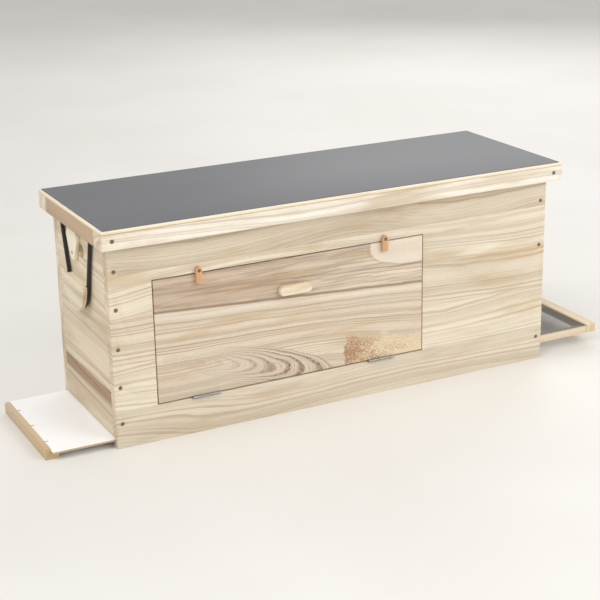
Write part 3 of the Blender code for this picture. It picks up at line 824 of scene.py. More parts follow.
def clear_sheet() -> bpy.types.Material:
    """Makes a clear acrylic pane with faint handling marks."""
    recipe = Recipe("clear_pane")
    smears = recipe.coordinate().stretched((9.0, 9.0, 30.0)).noise(1.0, 4.0, 0.6)
    rough = smears.within(0.45, 0.80, 0.02, 0.12)
    return recipe.surface(shade(250, 253, 252), rough, Transmission_Weight=1.0, IOR=1.49)


# ---------------------------------------------------------------- the bench
def bevelled(
    shape: bmesh.types.BMesh, edges: list[bmesh.types.BMEdge], size: float, segments: int, clamp: bool = True
) -> None:
    """Rounds edges of a shape.

    Args:
        shape: The shape.
        edges: The edges to round.
        size: How far each edge is taken back.
        segments: The steps in each rounded edge.
        clamp: Whether the roundings stop where they would meet.
    """
    bmesh.ops.bevel(
        shape, geom=edges, offset=size, segments=segments, profile=0.5, affect="EDGES", clamp_overlap=clamp,
        material=-1,
    )


def string_wire(
    shape: bmesh.types.BMesh, middle: Vector, radius: float, length: float, turn: Matrix = Matrix()
) -> None:
    """Adds a straight wire to a shape.

    Args:
        shape: The shape.
        middle: The wire's middle.
        radius: Its radius.
        length: Its length.
        turn: Turns it from upright.
    """
    bmesh.ops.create_cone(
        shape, cap_ends=True, segments=WIRE_SIDES, radius1=radius, radius2=radius, depth=length,
        matrix=Matrix.Translation(middle) @ turn,
    )


class Bench:
    """Finds nodes in the frame, and puts finished pieces on the bodies they belong to.

    Attributes:
        nodes: The CAD pieces, by name.
        body_of: The body that each node rides on.
        slot_of: The record's material slot of each node.
        made: How many pieces are finished so far.
    """

    def __init__(self, loaded: dict) -> None:
        """Reads who rides on what from the loaded frame."""
        record = loaded["record"]
        self.nodes = loaded["nodes"]
        self.body_of = {n: body for body, names in record["behaviour"]["bodies"].items() for n in names}
        self.slot_of = {row["node"]: row["material_slot"] for row in record["subparts"]}
        self.made = 0

    def settle(
        self, name: str, shape: bmesh.types.BMesh, finishes: list[bpy.types.Material], body: str, slot: str,
        *stands_for: str,
    ) -> bpy.types.Object:
        """Turns a finished shape into a piece that rides on a body.

        Args:
            name: The piece's name.
            shape: Its shape, which is freed.
            finishes: Its materials, in the order of the faces' numbers.
            body: The body it rides on.
            slot: The record's material slot; not used.
            *stands_for: CAD nodes that it replaces.

        Returns:
            The piece.
        """
        for face in shape.faces:
            face.smooth = max(abs(part) for part in face.normal) < FLAT_NORMAL
        mesh = bpy.data.meshes.new(name)
        shape.to_mesh(mesh)
        shape.free()
        for finish in finishes:
            mesh.materials.append(finish)
        piece = bpy.data.objects.new(name, mesh)
        bpy.context.scene.collection.objects.link(piece)
        mesh.set_sharp_from_angle(angle=math.radians(SHADE_TURN))
        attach(piece, body)
        if stands_for:
            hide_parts(*stands_for)
        self.made += 1
        LOG.info("%-28s on %-12s %6d faces", name, body, len(mesh.polygons))
        return piece

    def merged(self, node: str) -> bmesh.types.BMesh:
        """Copies a node's mesh, with its loose triangles merged into whole faces."""
        shape = bmesh.new()
        shape.from_mesh(self.nodes[node].data)
        bmesh.ops.remove_doubles(shape, verts=shape.verts, dist=SAME_POINT)
        turn = math.radians(FLAT_TURN)
        bmesh.ops.dissolve_limit(shape, angle_limit=turn, verts=shape.verts, edges=shape.edges)
        shape.normal_update()
        return shape

    def stand_in(self, node: str, shape: bmesh.types.BMesh, finish: bpy.types.Material) -> bpy.types.Object:
        """Settles a shape that takes a CAD node's place and body."""
        return self.settle(f"{node}_finished", shape, [finish], self.body_of[node], self.slot_of[node], node)

    def sharp_edges(self, shape: bmesh.types.BMesh) -> list[bmesh.types.BMEdge]:
        """Gives the edges where two faces meet at a sharp turn."""
        turn = math.radians(SHARP_TURN)
        inner = [line for line in shape.edges if len(line.link_faces) == 2]
        return [line for line in inner if line.calc_face_angle(0.0) > turn]

    def eased(self, node: str, finish: bpy.types.Material, edge: float = 0.0007) -> bpy.types.Object:
        """Finishes a CAD piece by easing its long edges.

        Args:
            node: The CAD node.
            finish: Its material.
            edge: How far each edge is taken back; 0 leaves them sharp.

        Returns:
            The piece, which stands for the node.
        """
        shape = self.merged(node)
        if edge:
            shortest = max(3 * edge, SHORTEST_EASED)
            edges = [line for line in self.sharp_edges(shape) if line.calc_length() > shortest]
            bevelled(shape, edges, edge, 2)
        return self.stand_in(node, shape, finish)

    def rounded(self, node: str, finish: bpy.types.Material, edge: float, segments: int) -> bpy.types.Object:
        """Finishes a small CAD piece by rounding every sharp edge of its outline.

        Args:
            node: The CAD node.
            finish: Its material.
            edge: The rounding's size.
            segments: The steps in each rounded edge.

        Returns:
            The piece, which stands for the node.
        """
        shape = self.merged(node)
        low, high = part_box(node)
        middle = (low + high) / 2
        thin = min(range(3), key=lambda i: (high - low)[i])
        edges = []
        for line in self.sharp_edges(shape):
            depths = [abs(v.co[thin] - middle[thin]) - (high - low)[thin] / 2 for v in line.verts]
            on_face = all(abs(depth) < ON_FACE for depth in depths)
            if on_face and not any(self.in_hole(v.co, node) for v in line.verts):
                edges.append(line)
        bevelled(shape, edges, edge, segments)
        return self.stand_in(node, shape, finish)

    def in_hole(self, point: Vector, node: str) -> bool:
        """Tells whether a point lies well inside a piece's outline, as a screw hole's rim does."""
        low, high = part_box(node)
        size = high - low
        flat = sorted(range(3), key=lambda i: size[i])[1:]
        shares = [abs((point[i] - (low[i] + high[i]) / 2) / (size[i] / 2)) for i in flat]
        return math.hypot(*shares) < HOLE_REACH and max(shares) < HOLE_SIDE


# ---------------------------------------------------------------- fasteners
class Head(Enum):
    """The kinds of head that the hive's fasteners have."""

    COUNTERSUNK = "countersunk"
    PAN = "pan"
    BRAD = "brad"


@dataclass(frozen=True)
class Fastener:
    """A wood screw or a brad, with a cross recess where its head has room for one.

    Attributes:
        head: The kind of head.
        radius: The head's radius.
        shank: The shank's radius.
        length: The length under the head's face.
        sides: How many sides its round parts have.
    """

    head: Head
    radius: float
    shank: float
    length: float
    sides: int = 12

    def profile(self) -> list[Span]:
        """Gives the side of the head and shank, as radius and height, from the head's edge down."""
        cone = 0.0006 + self.radius - self.shank
        sides = {
            Head.COUNTERSUNK: [(self.radius * 0.94, 0.0), (self.radius, -0.0002), (self.radius, -0.0006),
                               (self.shank, -cone)],
            Head.PAN: [(self.radius * 0.62, 0.0016), (self.radius * 0.90, 0.0011), (self.radius, 0.0003),
                       (self.radius, 0.0), (self.shank, 0.0)],
            Head.BRAD: [(self.radius * 0.8, 0.0), (self.radius, -0.0002), (self.radius, -0.0008),
                        (self.shank, -0.0010)],
        }
        return sides[self.head] + [(self.shank, -self.length * 0.9), (0.0, -self.length)]

    def template(self) -> bpy.types.Mesh:
        """Makes one fastener, head up along +Z with its seat at the origin."""
        shape = bmesh.new()
        start = Matrix.Rotation(math.pi / self.sides, 3, "Z")
        verts = [shape.verts.new(start @ Vector((radius, 0.0, height))) for radius, height in self.profile()]
        edges = [shape.edges.new(pair) for pair in zip(verts, verts[1:])]
        bmesh.ops.spin(
            shape, geom=verts + edges, cent=(0, 0, 0), axis=(0, 0, 1), dvec=(0, 0, 0), angle=math.tau,
            steps=self.sides, use_merge=True,
        )
        bmesh.ops.remove_doubles(shape, verts=shape.verts, dist=0.00001)
        rim = [line for line in shape.edges if line.is_boundary]
        top = bmesh.ops.holes_fill(shape, edges=rim, sides=self.sides)["faces"]
        bmesh.ops.recalc_face_normals(shape, faces=shape.faces)
        if self.head is not Head.BRAD:
            self.recess(shape, top[0])
        mesh = bpy.data.meshes.new("fastener")
        shape.to_mesh(mesh)
        shape.free()
        return mesh

    def recess(self, shape: bmesh.types.BMesh, top: bmesh.types.BMFace) -> None:
        """Sinks a cross into the head's flat top."""
        flat = top.calc_perimeter() / math.tau
        bmesh.ops.inset_region(shape, faces=[top], thickness=flat * RECESS_SIZE, use_even_offset=True)
        for vert in top.verts:
            quarter = abs(math.degrees(math.atan2(vert.co.y, vert.co.x))) % 90
            if abs(quarter - 45) < 5:
                vert.co.x *= RECESS_WAIST
                vert.co.y *= RECESS_WAIST
        sunk = bmesh.ops.extrude_face_region(shape, geom=[top])["geom"]
        floor = [item for item in sunk if isinstance(item, bmesh.types.BMVert)]
        bmesh.ops.translate(shape, verts=floor, vec=(0.0, 0.0, -self.radius * RECESS_DEPTH))
        bmesh.ops.scale(shape, verts=floor, vec=(RECESS_TAPER, RECESS_TAPER, 1.0))

    def rows(self, places: list[Place]) -> bmesh.types.BMesh:
        """Puts a copy at each place.

        Args:
            places: The seat of each head, and the direction it faces.

        Returns:
            All the copies in one shape, each turned a little differently.
        """
        template = self.template()
        shape = bmesh.new()
        for number, (point, out) in enumerate(places):
            copy = template.copy()
            facing = Vector((0, 0, 1)).rotation_difference(out).to_matrix().to_4x4()
            copy.transform(Matrix.Translation(point) @ facing @ Matrix.Rotation(number * 0.7, 4, "Z"))
            shape.from_mesh(copy)
            bpy.data.meshes.remove(copy)
        bpy.data.meshes.remove(template)
        shape.normal_update()
        return shape


# ---------------------------------------------------------------- sub-assemblies
@dataclass
class Carcass:
    """The box: front, back and end boards, the floor's crosspieces, runners and guides, and their screws.

    Attributes:
        bench: Where pieces are finished.
        screw: The board screws.
        screw_inset: How far the screws stand in from the box's ends.
        left_heights: The heights of the screws at the entrance end.
        right_heights: The heights of the screws at the other end.
    """

    bench: Bench
    screw: Fastener = Fastener(Head.COUNTERSUNK, 0.0039, 0.0019, 0.0415)
    screw_inset: float = 0.013
    left_heights: tuple[float, ...] = (0.360, 0.284, 0.204, 0.126, 0.051)
    right_heights: tuple[float, ...] = (0.363, 0.264, 0.0515)

    def build(self, screw_steel: bpy.types.Material) -> None:
        """Finishes every piece of the box."""
        self.boards()
        self.floor_supports()
        self.screws(screw_steel)

    def boards(self) -> None:
        """Dresses the four boards and the rail under the mesh floor."""
        woods = (
            # The front board's top stave (from 0.352 up), just under the lid, is darker and browner: partly
            # its own heartwood, partly painted shade where the lid's shadow falls.
            Timber("front_board_wood", seed=3.1, spacing=52.0, wander=0.042, staves=(
                Stave(0.0, 0.92, 0.10), Stave(0.0766, 1.01), Stave(0.170, 0.97, 0.14), Stave(0.262, 1.01),
                Stave(0.352, 0.95, 0.16),
            )),
            Timber("back_board_wood", seed=11.7, spacing=48.0, wander=0.030, staves=(
                Stave(0.0, 1.0), Stave(0.095, 0.97, 0.10), Stave(0.205, 1.01), Stave(0.318, 0.99, 0.05),
            )),
            Timber(
                "left_end_wood", seed=6.3, spacing=62.0, pale=shade(244, 231, 206),
                heart=shade(190, 156, 120), grain=Axis.Y, pith=0.62, wander=0.026,
                staves=(
                    Stave(0.0, 0.98, 0.05), Stave(0.058, 0.97, 0.30), Stave(0.085, 0.88, 0.90),
                    Stave(0.112, 1.0, 0.05), Stave(0.190, 0.98, 0.10), Stave(0.270, 1.0, 0.04),
                    Stave(0.355, 1.02),
                ),
            ),
            Timber("right_end_wood", seed=8.8, spacing=58.0, grain=Axis.Y, pith=-0.40, wander=0.022, staves=(
                Stave(0.0, 0.98), Stave(0.110, 1.0, 0.10), Stave(0.225, 1.01), Stave(0.330, 0.97, 0.06),
            )),
            Timber("right_rail_wood", seed=9.4, grain=Axis.Y, pith=-0.42),
        )
        nodes = ("front_board", "back_board", "left_end_board", "right_end_board", "right_bottom_rail")
        for node, wood in zip(nodes, woods):
            self.bench.eased(node, wood.build())

    def floor_supports(self) -> None:
        """Dresses the crosspieces, and the strips that the mesh floor slides between."""
        pine = shade(228, 202, 158)
        dark = shade(190, 146, 94)
        cross = Timber("crosspiece_wood", pale=pine, tan=dark, grain=Axis.Y, seed=14.0, streaks=0.7)
        strip = Timber("strip_wood", pale=pine, tan=dark, seed=15.0, streaks=0.7)
        for place in ("left", "middle", "right"):
            self.bench.eased(f"crosspiece_{place}", cross.build())
        for kind in ("runner", "guide"):
            for side in ("front", "back"):
                self.bench.eased(f"mesh_{kind}_{side}", strip.build(), 0.0004)

    def screws(self, steel: bpy.types.Material) -> None:
        """Puts the screws in the front and back boards."""
        for node, facing in (("front_board", -1), ("back_board", 1)):
            low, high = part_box(node)
            face = (low.y if facing < 0 else high.y) - facing * HEAD_SUNK
            places = []
            for x, heights in ((low.x + self.screw_inset, self.left_heights),
                               (high.x - self.screw_inset, self.right_heights)):
                for z in heights:
                    places.append((Vector((x, face, z)), Vector((0, facing, 0))))
            shape = self.screw.rows(places)
            self.bench.settle(f"{node}_screws", shape, [steel], "hive_body", "brown_screw")


@dataclass
class Door:
    """The observation door with its pull, hinges and screws, and the pane behind it.

    Attributes:
        bench: Where pieces are finished.
        pull_screw: The screws that hold the pull, from behind.
        pull_screw_step: How far they stand from the pull's middle.
        pane_screw: The screws whose heads hold the pane.
        pane_screw_steps: Where they stand along the pane, from its middle.
        pane_screw_gap: How far outside the pane's edges they stand.
    """

    bench: Bench
    pull_screw: Fastener = Fastener(Head.COUNTERSUNK, 0.0034, 0.0016, 0.0175)
    pull_screw_step: float = 0.020
    pane_screw: Fastener = Fastener(Head.PAN, 0.0040, 0.0015, 0.0058)
    pane_screw_steps: tuple[float, ...] = (-0.24, -0.08, 0.08, 0.24)
    pane_screw_gap: float = 0.0025

    def build(self, steel: bpy.types.Material, screw_steel: bpy.types.Material) -> None:
        """Finishes every piece of the door."""
        panel = DoorFigure(
            "door_wood", seed=1.4, spacing=72.0, pale=shade(236, 222, 200), tan=shade(156, 128, 102)
        )
        self.bench.eased("door_panel", panel.build(), 0.0006)
        pull = Timber(
            "pull_wood", pale=shade(255, 246, 224), tan=shade(226, 206, 170), seed=21.0, streaks=0.5,
            spacing=200.0,
        )
        self.bench.rounded("door_pull", pull.build(), 0.0026, 3)
        for side in ("left", "right"):
            for part in ("fixed_leaf", "door_leaf", "pin"):
                self.bench.eased(f"hinge_{side}_{part}", steel, 0.0)
        self.bench.eased("window_pane", clear_sheet(), 0.0005)
        self.screws(screw_steel, steel)

    def screws(self, brown: bpy.types.Material, bright: bpy.types.Material) -> None:
        """Puts in the pull's screws and the pane's screws."""
        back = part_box("door_panel")[1].y
        pull_low, pull_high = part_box("door_pull")
        middle = (pull_low + pull_high) / 2
        places = []
        for step in (-self.pull_screw_step, self.pull_screw_step):
            places.append((Vector((middle.x + step, back - HEAD_SUNK, middle.z)), Vector((0, 1, 0))))
        self.bench.settle("pull_screws", self.pull_screw.rows(places), [brown], "door", "brown_screw")
        pane_low, pane_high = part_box("window_pane")
        centre = (pane_low.x + pane_high.x) / 2
        places = []
        for z in (pane_low.z - self.pane_screw_gap, pane_high.z + self.pane_screw_gap):
            for step in self.pane_screw_steps:
                places.append((Vector((centre + step, pane_high.y, z)), Vector((0, 1, 0))))
        self.bench.settle("pane_screws", self.pane_screw.rows(places), [bright], "hive_body", "steel")


@dataclass
class Catches:
    """The turn buttons over the door and the entrance cover, each on its own screw.

    Attributes:
        bench: Where pieces are finished.
        screw: The screws that they turn on.
        sunk: How deep a head sits in its button.
    """

    bench: Bench
    screw: Fastener = Fastener(Head.COUNTERSUNK, 0.0034, 0.0018, 0.0240)
    sunk: float = 0.0003

    def build(self, steel: bpy.types.Material) -> None:
        """Finishes the buttons, the cover and their screws."""
        for side, seed in (("left", 31.0), ("right", 33.5)):
            beech = Timber(
                f"button_{side}_wood", pale=shade(226, 180, 132), tan=shade(196, 142, 92),
                heart=shade(176, 120, 74), grain=Axis.Z, seed=seed, streaks=0.6, spacing=260.0, pith=0.05,
                wander=0.006,
            )
            self.bench.rounded(f"turn_button_{side}", beech.build(), 0.0009, 2)
            self.pivot(f"button_screw_{side}", f"turn_button_{side}", Vector((0, -1, 0)), steel)
        cover = Timber(
            "cover_wood", pale=shade(255, 246, 224), tan=shade(232, 212, 176), grain=Axis.Z, seed=36.0,
            streaks=0.45, spacing=150.0, wander=0.010,
        )
        self.bench.rounded("entrance_cover", cover.build(), 0.0010, 2)
        self.pivot("cover_screw", "entrance_cover", Vector((-1, 0, 0)), steel)

    def pivot(self, node: str, holds: str, out: Vector, steel: bpy.types.Material) -> None:
        """Replaces a plain pivot screw by one with a cross recess."""
        low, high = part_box(node)
        seat = (low + high) / 2
        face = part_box(holds)[0]
        if out.y:
            seat.y = face.y + self.sunk
        else:
            seat.x = face.x + self.sunk
        shape = self.screw.rows([(seat, out)])
        self.bench.settle(f"{node}_finished", shape, [steel], "hive_body", "brown_screw", node)


@dataclass(frozen=True)
class LoopRoute:
    """A loop's middle line: a straight leg, an arc under the cleat's hub and another leg.

    Attributes:
        centre: The height of the arc's centre.
        radius: The arc's radius.
        angle: How far above level each leg meets the arc, in radians.
        top: The far end of the line, as Y and Z.
    """

    centre: float
    radius: float
    angle: float
    top: Vector

    def touch(self, side: int) -> Vector:
        """Gives the point where a leg meets the arc, at the front (-1) or the back (1)."""
        height = self.centre + self.radius * math.sin(self.angle)
        return Vector((side * self.radius * math.cos(self.angle), height))

    def leg(self) -> float:
        """Gives the length of one leg."""
        return (self.top - self.touch(1)).length

    def length(self) -> float:
        """Gives the whole length."""
        return 2 * self.leg() + self.radius * (math.pi + 2 * self.angle)

    def point(self, travelled: float) -> Place:
        """Gives a point of the line and the direction there.

        Args:
            travelled: The distance from the line's front end.

        Returns:
            The point and the direction, both as Y and Z.
        """
        leg = self.leg()
        if travelled < leg:
            start = Vector((-self.top.x, self.top.y))
            way = (self.touch(-1) - start).normalized()
            return start + way * travelled, way
        if travelled > self.length() - leg:
            way = (self.top - self.touch(1)).normalized()
            return self.top - way * (self.length() - travelled), way
        swept = math.pi - self.angle + (travelled - leg) / self.radius
        way = Vector((-math.sin(swept), math.cos(swept)))
        return Vector((self.radius * math.cos(swept), self.centre + self.radius * math.sin(swept))), way


@dataclass
class HoldDowns:
    """The elastic loops that hold the lid down, and the half-round cleats that they hook under.

    Attributes:
        bench: Where pieces are finished.
        hub_radius: The radius of the cleats' inner part, which the loops run round.
        cord_radius: The cord's radius.
        top_y: How far from the middle the loops enter the lid.
        end_drop: How far under the lid the cord's middle line ends.
        clearance: The air between the cord and the hub.
        thinness: How thick the cord is for its width, since its two ribs lie side by side.
        groove: How deep the groove between the ribs is.
        groove_width: How wide that groove is.
        strands: The strands of the braid that cross any ring round the cord, each way.
        braid_pitch: The length of one turn of a strand.
        ring_step: The length of one step of the cord's mesh.
        ring_sides: The steps round the cord.
        screw: The screws that hold the cleats, from inside the end boards.
        screw_step: How far they stand from the middle.
        screw_drop: How far they stand under the cleats' tops.
    """

    bench: Bench
    hub_radius: float = 0.050
    cord_radius: float = 0.0044
    top_y: float = 0.083
    end_drop: float = 0.0035
    clearance: float = 0.0003
    thinness: float = 0.95
    groove: float = 0.55
    groove_width: float = 0.22
    strands: int = 8
    braid_pitch: float = 0.020
    ring_step: float = 0.0010
    ring_sides: int = 32
    screw: Fastener = Fastener(Head.COUNTERSUNK, 0.0034, 0.0017, 0.0355)
    screw_step: float = 0.026
    screw_drop: float = 0.018

    def build(self, screw_steel: bpy.types.Material) -> None:
        """Finishes both loops, both cleats and the cleats' screws."""
        braid = braid_cover()
        places = []
        for side, sign in (("left", -1), ("right", 1)):
            wood = Timber(
                f"cleat_{side}_wood", grain=Axis.Y, seed=41.0 + sign, pith=-sign * 0.46, spacing=90.0,
                wander=0.012,
            )
            self.bench.eased(f"cleat_{side}", wood.build(), 0.0010)
            self.loop(side, braid)
            board_low, board_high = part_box(f"{side}_end_board")
            inner = (board_high.x if sign < 0 else board_low.x) + sign * HEAD_SUNK
            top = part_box(f"cleat_{side}")[1].z
            for y in (-self.screw_step, self.screw_step):
                places.append((Vector((inner, y, top - self.screw_drop)), Vector((-sign, 0, 0))))
        self.bench.settle("cleat_screws", self.screw.rows(places), [screw_steel], "hive_body", "brown_screw")

    def route(self, side: str) -> LoopRoute:
        """Works out a loop's middle line from the cleat and the lid."""
        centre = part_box(f"cleat_{side}")[1].z
        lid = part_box("lid_front_rim")[0].z
        radius = self.hub_radius + self.cord_radius + self.clearance
        reach = math.hypot(self.top_y, lid - centre)
        angle = math.atan2(lid - centre, self.top_y) - math.acos(radius / reach)
        return LoopRoute(centre, radius, angle, Vector((self.top_y, lid - self.end_drop)))

    def loop(self, side: str, finish: bpy.types.Material) -> None:
        """Makes one braided loop from a flat sheet that is rolled round its middle line."""
        route = self.route(side)
        low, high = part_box(f"elastic_loop_{side}")
        middle_x = (low.x + high.x) / 2
        shape = bmesh.new()
        shape.loops.layers.uv.new("UVMap")
        bmesh.ops.create_grid(
            shape, x_segments=round(route.length() / self.ring_step), y_segments=self.ring_sides, size=0.5,
            calc_uvs=True,
        )
        for vert in shape.verts:
            travelled = (vert.co.x + 0.5) * route.length()
            round_angle = (vert.co.y + 0.5) * math.tau
            middle, way = route.point(travelled)
            size = self.cord_radius * (0.92 + 0.08 * self.braid(travelled, round_angle))
            outwards = math.cos(round_angle) * size
            groove = 1 - self.groove * math.exp(-((math.cos(round_angle) / self.groove_width) ** 2))
            x = middle_x + math.sin(round_angle) * size * self.thinness * groove
            vert.co = (x, middle.x - way.y * outwards, middle.y + way.x * outwards)
        bmesh.ops.remove_doubles(shape, verts=shape.verts, dist=0.000001)
        rims = [line for line in shape.edges if line.is_boundary]
        bmesh.ops.holes_fill(shape, edges=rims, sides=self.ring_sides)
        bmesh.ops.recalc_face_normals(shape, faces=shape.faces)
        node = f"elastic_loop_{side}"
        self.bench.settle(f"{node}_braid", shape, [finish], f"elastic_{side}", "black_elastic", node)

    def braid(self, travelled: float, round_angle: float) -> float:
        """Gives the braid's height, from 0 to 1, where two sets of strands cross."""
        along = math.tau * travelled / self.braid_pitch
        half = self.strands / 2
        return max(abs(math.cos(half * round_angle + along)), abs(math.cos(half * round_angle - along)))


@dataclass
class Lid:
    """The lid: a batten frame under a plywood panel with a grey facing, and softboard inside it.

    Attributes:
        bench: Where pieces are finished.
        screw: The screws through the long battens.
        screw_inset: How far they stand in from the lid's ends.
        screw_drop: How far they stand under the battens' tops.
        brad: The small nails in the end battens.
        brad_step: How far they stand from the middle.
        brad_drop: How far they stand under the battens' tops.
    """

    bench: Bench
    screw: Fastener = Fastener(Head.COUNTERSUNK, 0.0041, 0.0019, 0.0690)
    screw_inset: float = 0.021
    screw_drop: float = 0.0137
    brad: Fastener = Fastener(Head.BRAD, 0.0012, 0.0008, 0.0230, 8)
    brad_step: float = 0.079
    brad_drop: float = 0.0227

    def build(self, screw_steel: bpy.types.Material) -> None:
        """Finishes the battens, panel, facing, softboard and fasteners."""
        pale = shade(252, 246, 231)
        for node, grain, seed, brown in (
            ("lid_front_rim", Axis.X, 51.0, 0.0), ("lid_back_rim", Axis.X, 53.0, 0.06),
            ("lid_left_rim", Axis.Y, 55.0, 0.80), ("lid_right_rim", Axis.Y, 57.0, 0.10),
        ):
            wood = Timber(
                f"{node}_wood", pale=pale, heart=shade(192, 156, 118), grain=grain, seed=seed, streaks=0.62,
                spacing=70.0, pith=0.30, wander=0.030, staves=(Stave(0.0, 1.0, brown),),
            )
            self.bench.eased(node, wood.build(), 0.0009)
        low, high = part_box("lid_panel")
        self.bench.eased("lid_panel", Plywood(low.z, high.z).build(), 0.0003)
        grey = Film("grey_film", shade(104, 105, 108), shade(120, 121, 124), 0.48)
        self.bench.eased("lid_facing", grey.build(), 0.0003)
        self.bench.eased("lid_insulation", softboard(), 0.0020)
        self.fasteners(screw_steel)

    def fasteners(self, steel: bpy.types.Material) -> None:
        """Puts in the four corner screws and the four brads."""
        low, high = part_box("lid_front_rim")
        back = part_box("lid_back_rim")[1].y
        places = []
        for face, facing in ((low.y, -1), (back, 1)):
            for x in (low.x + self.screw_inset, high.x - self.screw_inset):
                point = Vector((x, face - facing * HEAD_SUNK, high.z - self.screw_drop))
                places.append((point, Vector((0, facing, 0))))
        self.bench.settle("lid_screws", self.screw.rows(places), [steel], "lid", "brown_screw")
        places = []
        for face, facing in ((low.x, -1), (high.x, 1)):
            for y in (-self.brad_step, self.brad_step):
                point = Vector((face - facing * HEAD_SUNK / 2, y, high.z - self.brad_drop))
                places.append((point, Vector((facing, 0, 0))))
        self.bench.settle("lid_brads", self.brad.rows(places), [steel], "lid", "steel")


@dataclass
class Tray:
    """The white tray under the hive, with its front lath and three staples.

    Attributes:
        bench: Where pieces are finished.
        staple_places: Where the staples stand across the tray.
        staple_width: The length of a staple's crown.
        wire: The staple wire's radius.
        staple_inset: How far the staples stand in from the tray's end.
        staple_turn: How far they are turned from the tray's length, in degrees.
        staple_rise: How far a crown's middle stands over the plate, in wire radii.
        staple_easing: How round a crown's edges are, in wire radii.
        coat_edge: How far the coated faces' edges are taken back.
    """

    bench: Bench
    staple_places: tuple[float, ...] = (-0.088, 0.0, 0.088)
    staple_width: float = 0.010
    wire: float = 0.0007
    staple_inset: float = 0.004
    staple_turn: float = 78.0
    staple_rise: float = 0.4
    staple_easing: float = 0.35
    coat_edge: float = 0.0003

    def build(self, steel: bpy.types.Material) -> None:
        """Finishes the plate, the lath and the staples."""
        self.plate()
        lath = Timber("tray_lath_wood", pale=shade(222, 200, 166), grain=Axis.Y, seed=61.0, spacing=110.0)
        self.bench.eased("tray_lath", lath.build(), 0.0006)
        self.staples(steel)

    def plate(self) -> None:
        """Makes the coated plate, whose edges show bare brown hardboard."""
        shape = self.bench.merged("tray_plate")
        bevelled(shape, list(shape.edges), self.coat_edge, 1, clamp=False)
        shape.normal_update()
        for face in shape.faces:
            face.material_index = 0 if abs(face.normal.z) > 0.5 else 1
        white = Film("white_board", shade(255, 255, 255), shade(248, 249, 250), 0.24, 0.20)
        core = Timber("tray_core", pale=shade(206, 178, 138), tan=shade(160, 124, 84), seed=63.0)
        finishes = [white.build(), core.build()]
        self.bench.settle("tray_plate_finished", shape, finishes, "tray", "white_board", "tray_plate")

    def staples(self, steel: bpy.types.Material) -> None:
        """Makes a rounded bar at each place, as a staple's crown."""
        low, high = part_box("tray_plate")
        shape = bmesh.new()
        turn = Matrix.Rotation(math.radians(self.staple_turn), 4, "Z")
        size = Matrix.Diagonal((2 * self.wire, self.staple_width, self.wire, 1.0))
        for y in self.staple_places:
            middle = Vector((low.x + self.staple_inset, y, high.z + self.wire * self.staple_rise))
            place = Matrix.Translation(middle) @ turn @ size
            crown = bmesh.ops.create_cube(shape, size=1.0, matrix=place)["verts"]
            edges = list({line for vert in crown for line in vert.link_edges})
            bevelled(shape, edges, self.wire * self.staple_easing, 2, clamp=False)
        self.bench.settle("tray_staples", shape, [steel], "tray", "steel")


@dataclass
class MeshFloor:
    """The wire floor: a wooden frame with crossed steel wires over it.

    Attributes:
        bench: Where pieces are finished.
        pitch: The distance between two wires.
        wire: The wires' radius.
    """

    bench: Bench
    pitch: float = 0.0032
    wire: float = 0.00030

    def build(self, wire_steel_with_painted_shade: bpy.types.Material) -> None:
        """Finishes the frame and strings the wires."""
        pale = shade(240, 226, 196)
        for node, grain, seed in (
            ("mesh_end_lath", Axis.Y, 71.0), ("mesh_front_rail", Axis.X, 73.0),
            ("mesh_back_rail", Axis.X, 75.0), ("mesh_inner_rail", Axis.Y, 77.0),
        ):
            wood = Timber(f"{node}_wood", pale=pale, grain=grain, seed=seed, streaks=0.6, spacing=110.0)
            self.bench.eased(node, wood.build(), 0.0006)
        self.wires(wire_steel_with_painted_shade)

    def wires(self, steel: bpy.types.Material) -> None:
        """Strings wires both ways, the second set lying on the first."""
        low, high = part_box("mesh_sheet")
        shape = bmesh.new()
        for along, across, level in ((0, 1, low.z + self.wire), (1, 0, low.z + 3 * self.wire)):
            length = high[along] - low[along]
            count = int((high[across] - low[across] - 2 * self.wire) / self.pitch)
            spare = high[across] - low[across] - count * self.pitch
            turn = Matrix.Rotation(math.radians(90), 4, "Y" if along == 0 else "X")
            for number in range(count + 1):
                middle = (low + high) / 2
                middle[across] = low[across] + spare / 2 + number * self.pitch
                middle.z = level
                string_wire(shape, middle, self.wire, length, turn)
        self.bench.settle("mesh_wires", shape, [steel], "mesh_floor", "steel_mesh", "mesh_sheet")


@dataclass
class Combs:
    """The comb frames with their wax foundation, and the board that closes the brood space off.

    Attributes:
        bench: Where pieces are finished.
        count: The number of frames.
        wire: The radius of the support wires.
        wires: The number of support wires in each frame.
    """

    bench: Bench
    count: int = 6
    wire: float = 0.00025
    wires: int = 5

    def build(self, steel: bpy.types.Material) -> None:
        """Finishes each frame, its foundation and wires, and the division board."""
        foundation = wax()
        lime = shade(238, 220, 184)
        tan = shade(206, 176, 128)
        for number in range(1, self.count + 1):
            wood = Timber(
                f"comb_frame_{number}_wood", pale=lime, tan=tan, grain=Axis.Y, seed=80.0 + number,
                streaks=0.5, spacing=120.0,
            )
            self.bench.eased(f"comb_frame_{number}", wood.build(), 0.0008)
            self.bench.eased(f"foundation_{number}", foundation, 0.0004)
            self.support(number, steel)
        board = Timber("division_wood", pale=lime, tan=tan, grain=Axis.Y, seed=90.0, streaks=0.6)
        self.bench.eased("division_board", board.build())

    def support(self, number: int, steel: bpy.types.Material) -> None:
        """Lays upright wires against a foundation."""
        low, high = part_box(f"foundation_{number}")
        shape = bmesh.new()
        for step in range(self.wires):
            middle = (low + high) / 2
            middle.y = low.y + (high.y - low.y) * (step + 0.5) / self.wires
            middle.x = high.x + self.wire
            string_wire(shape, middle, self.wire, high.z - low.z)
        self.bench.settle(f"comb_wires_{number}", shape, [steel], "hive_body", "steel")


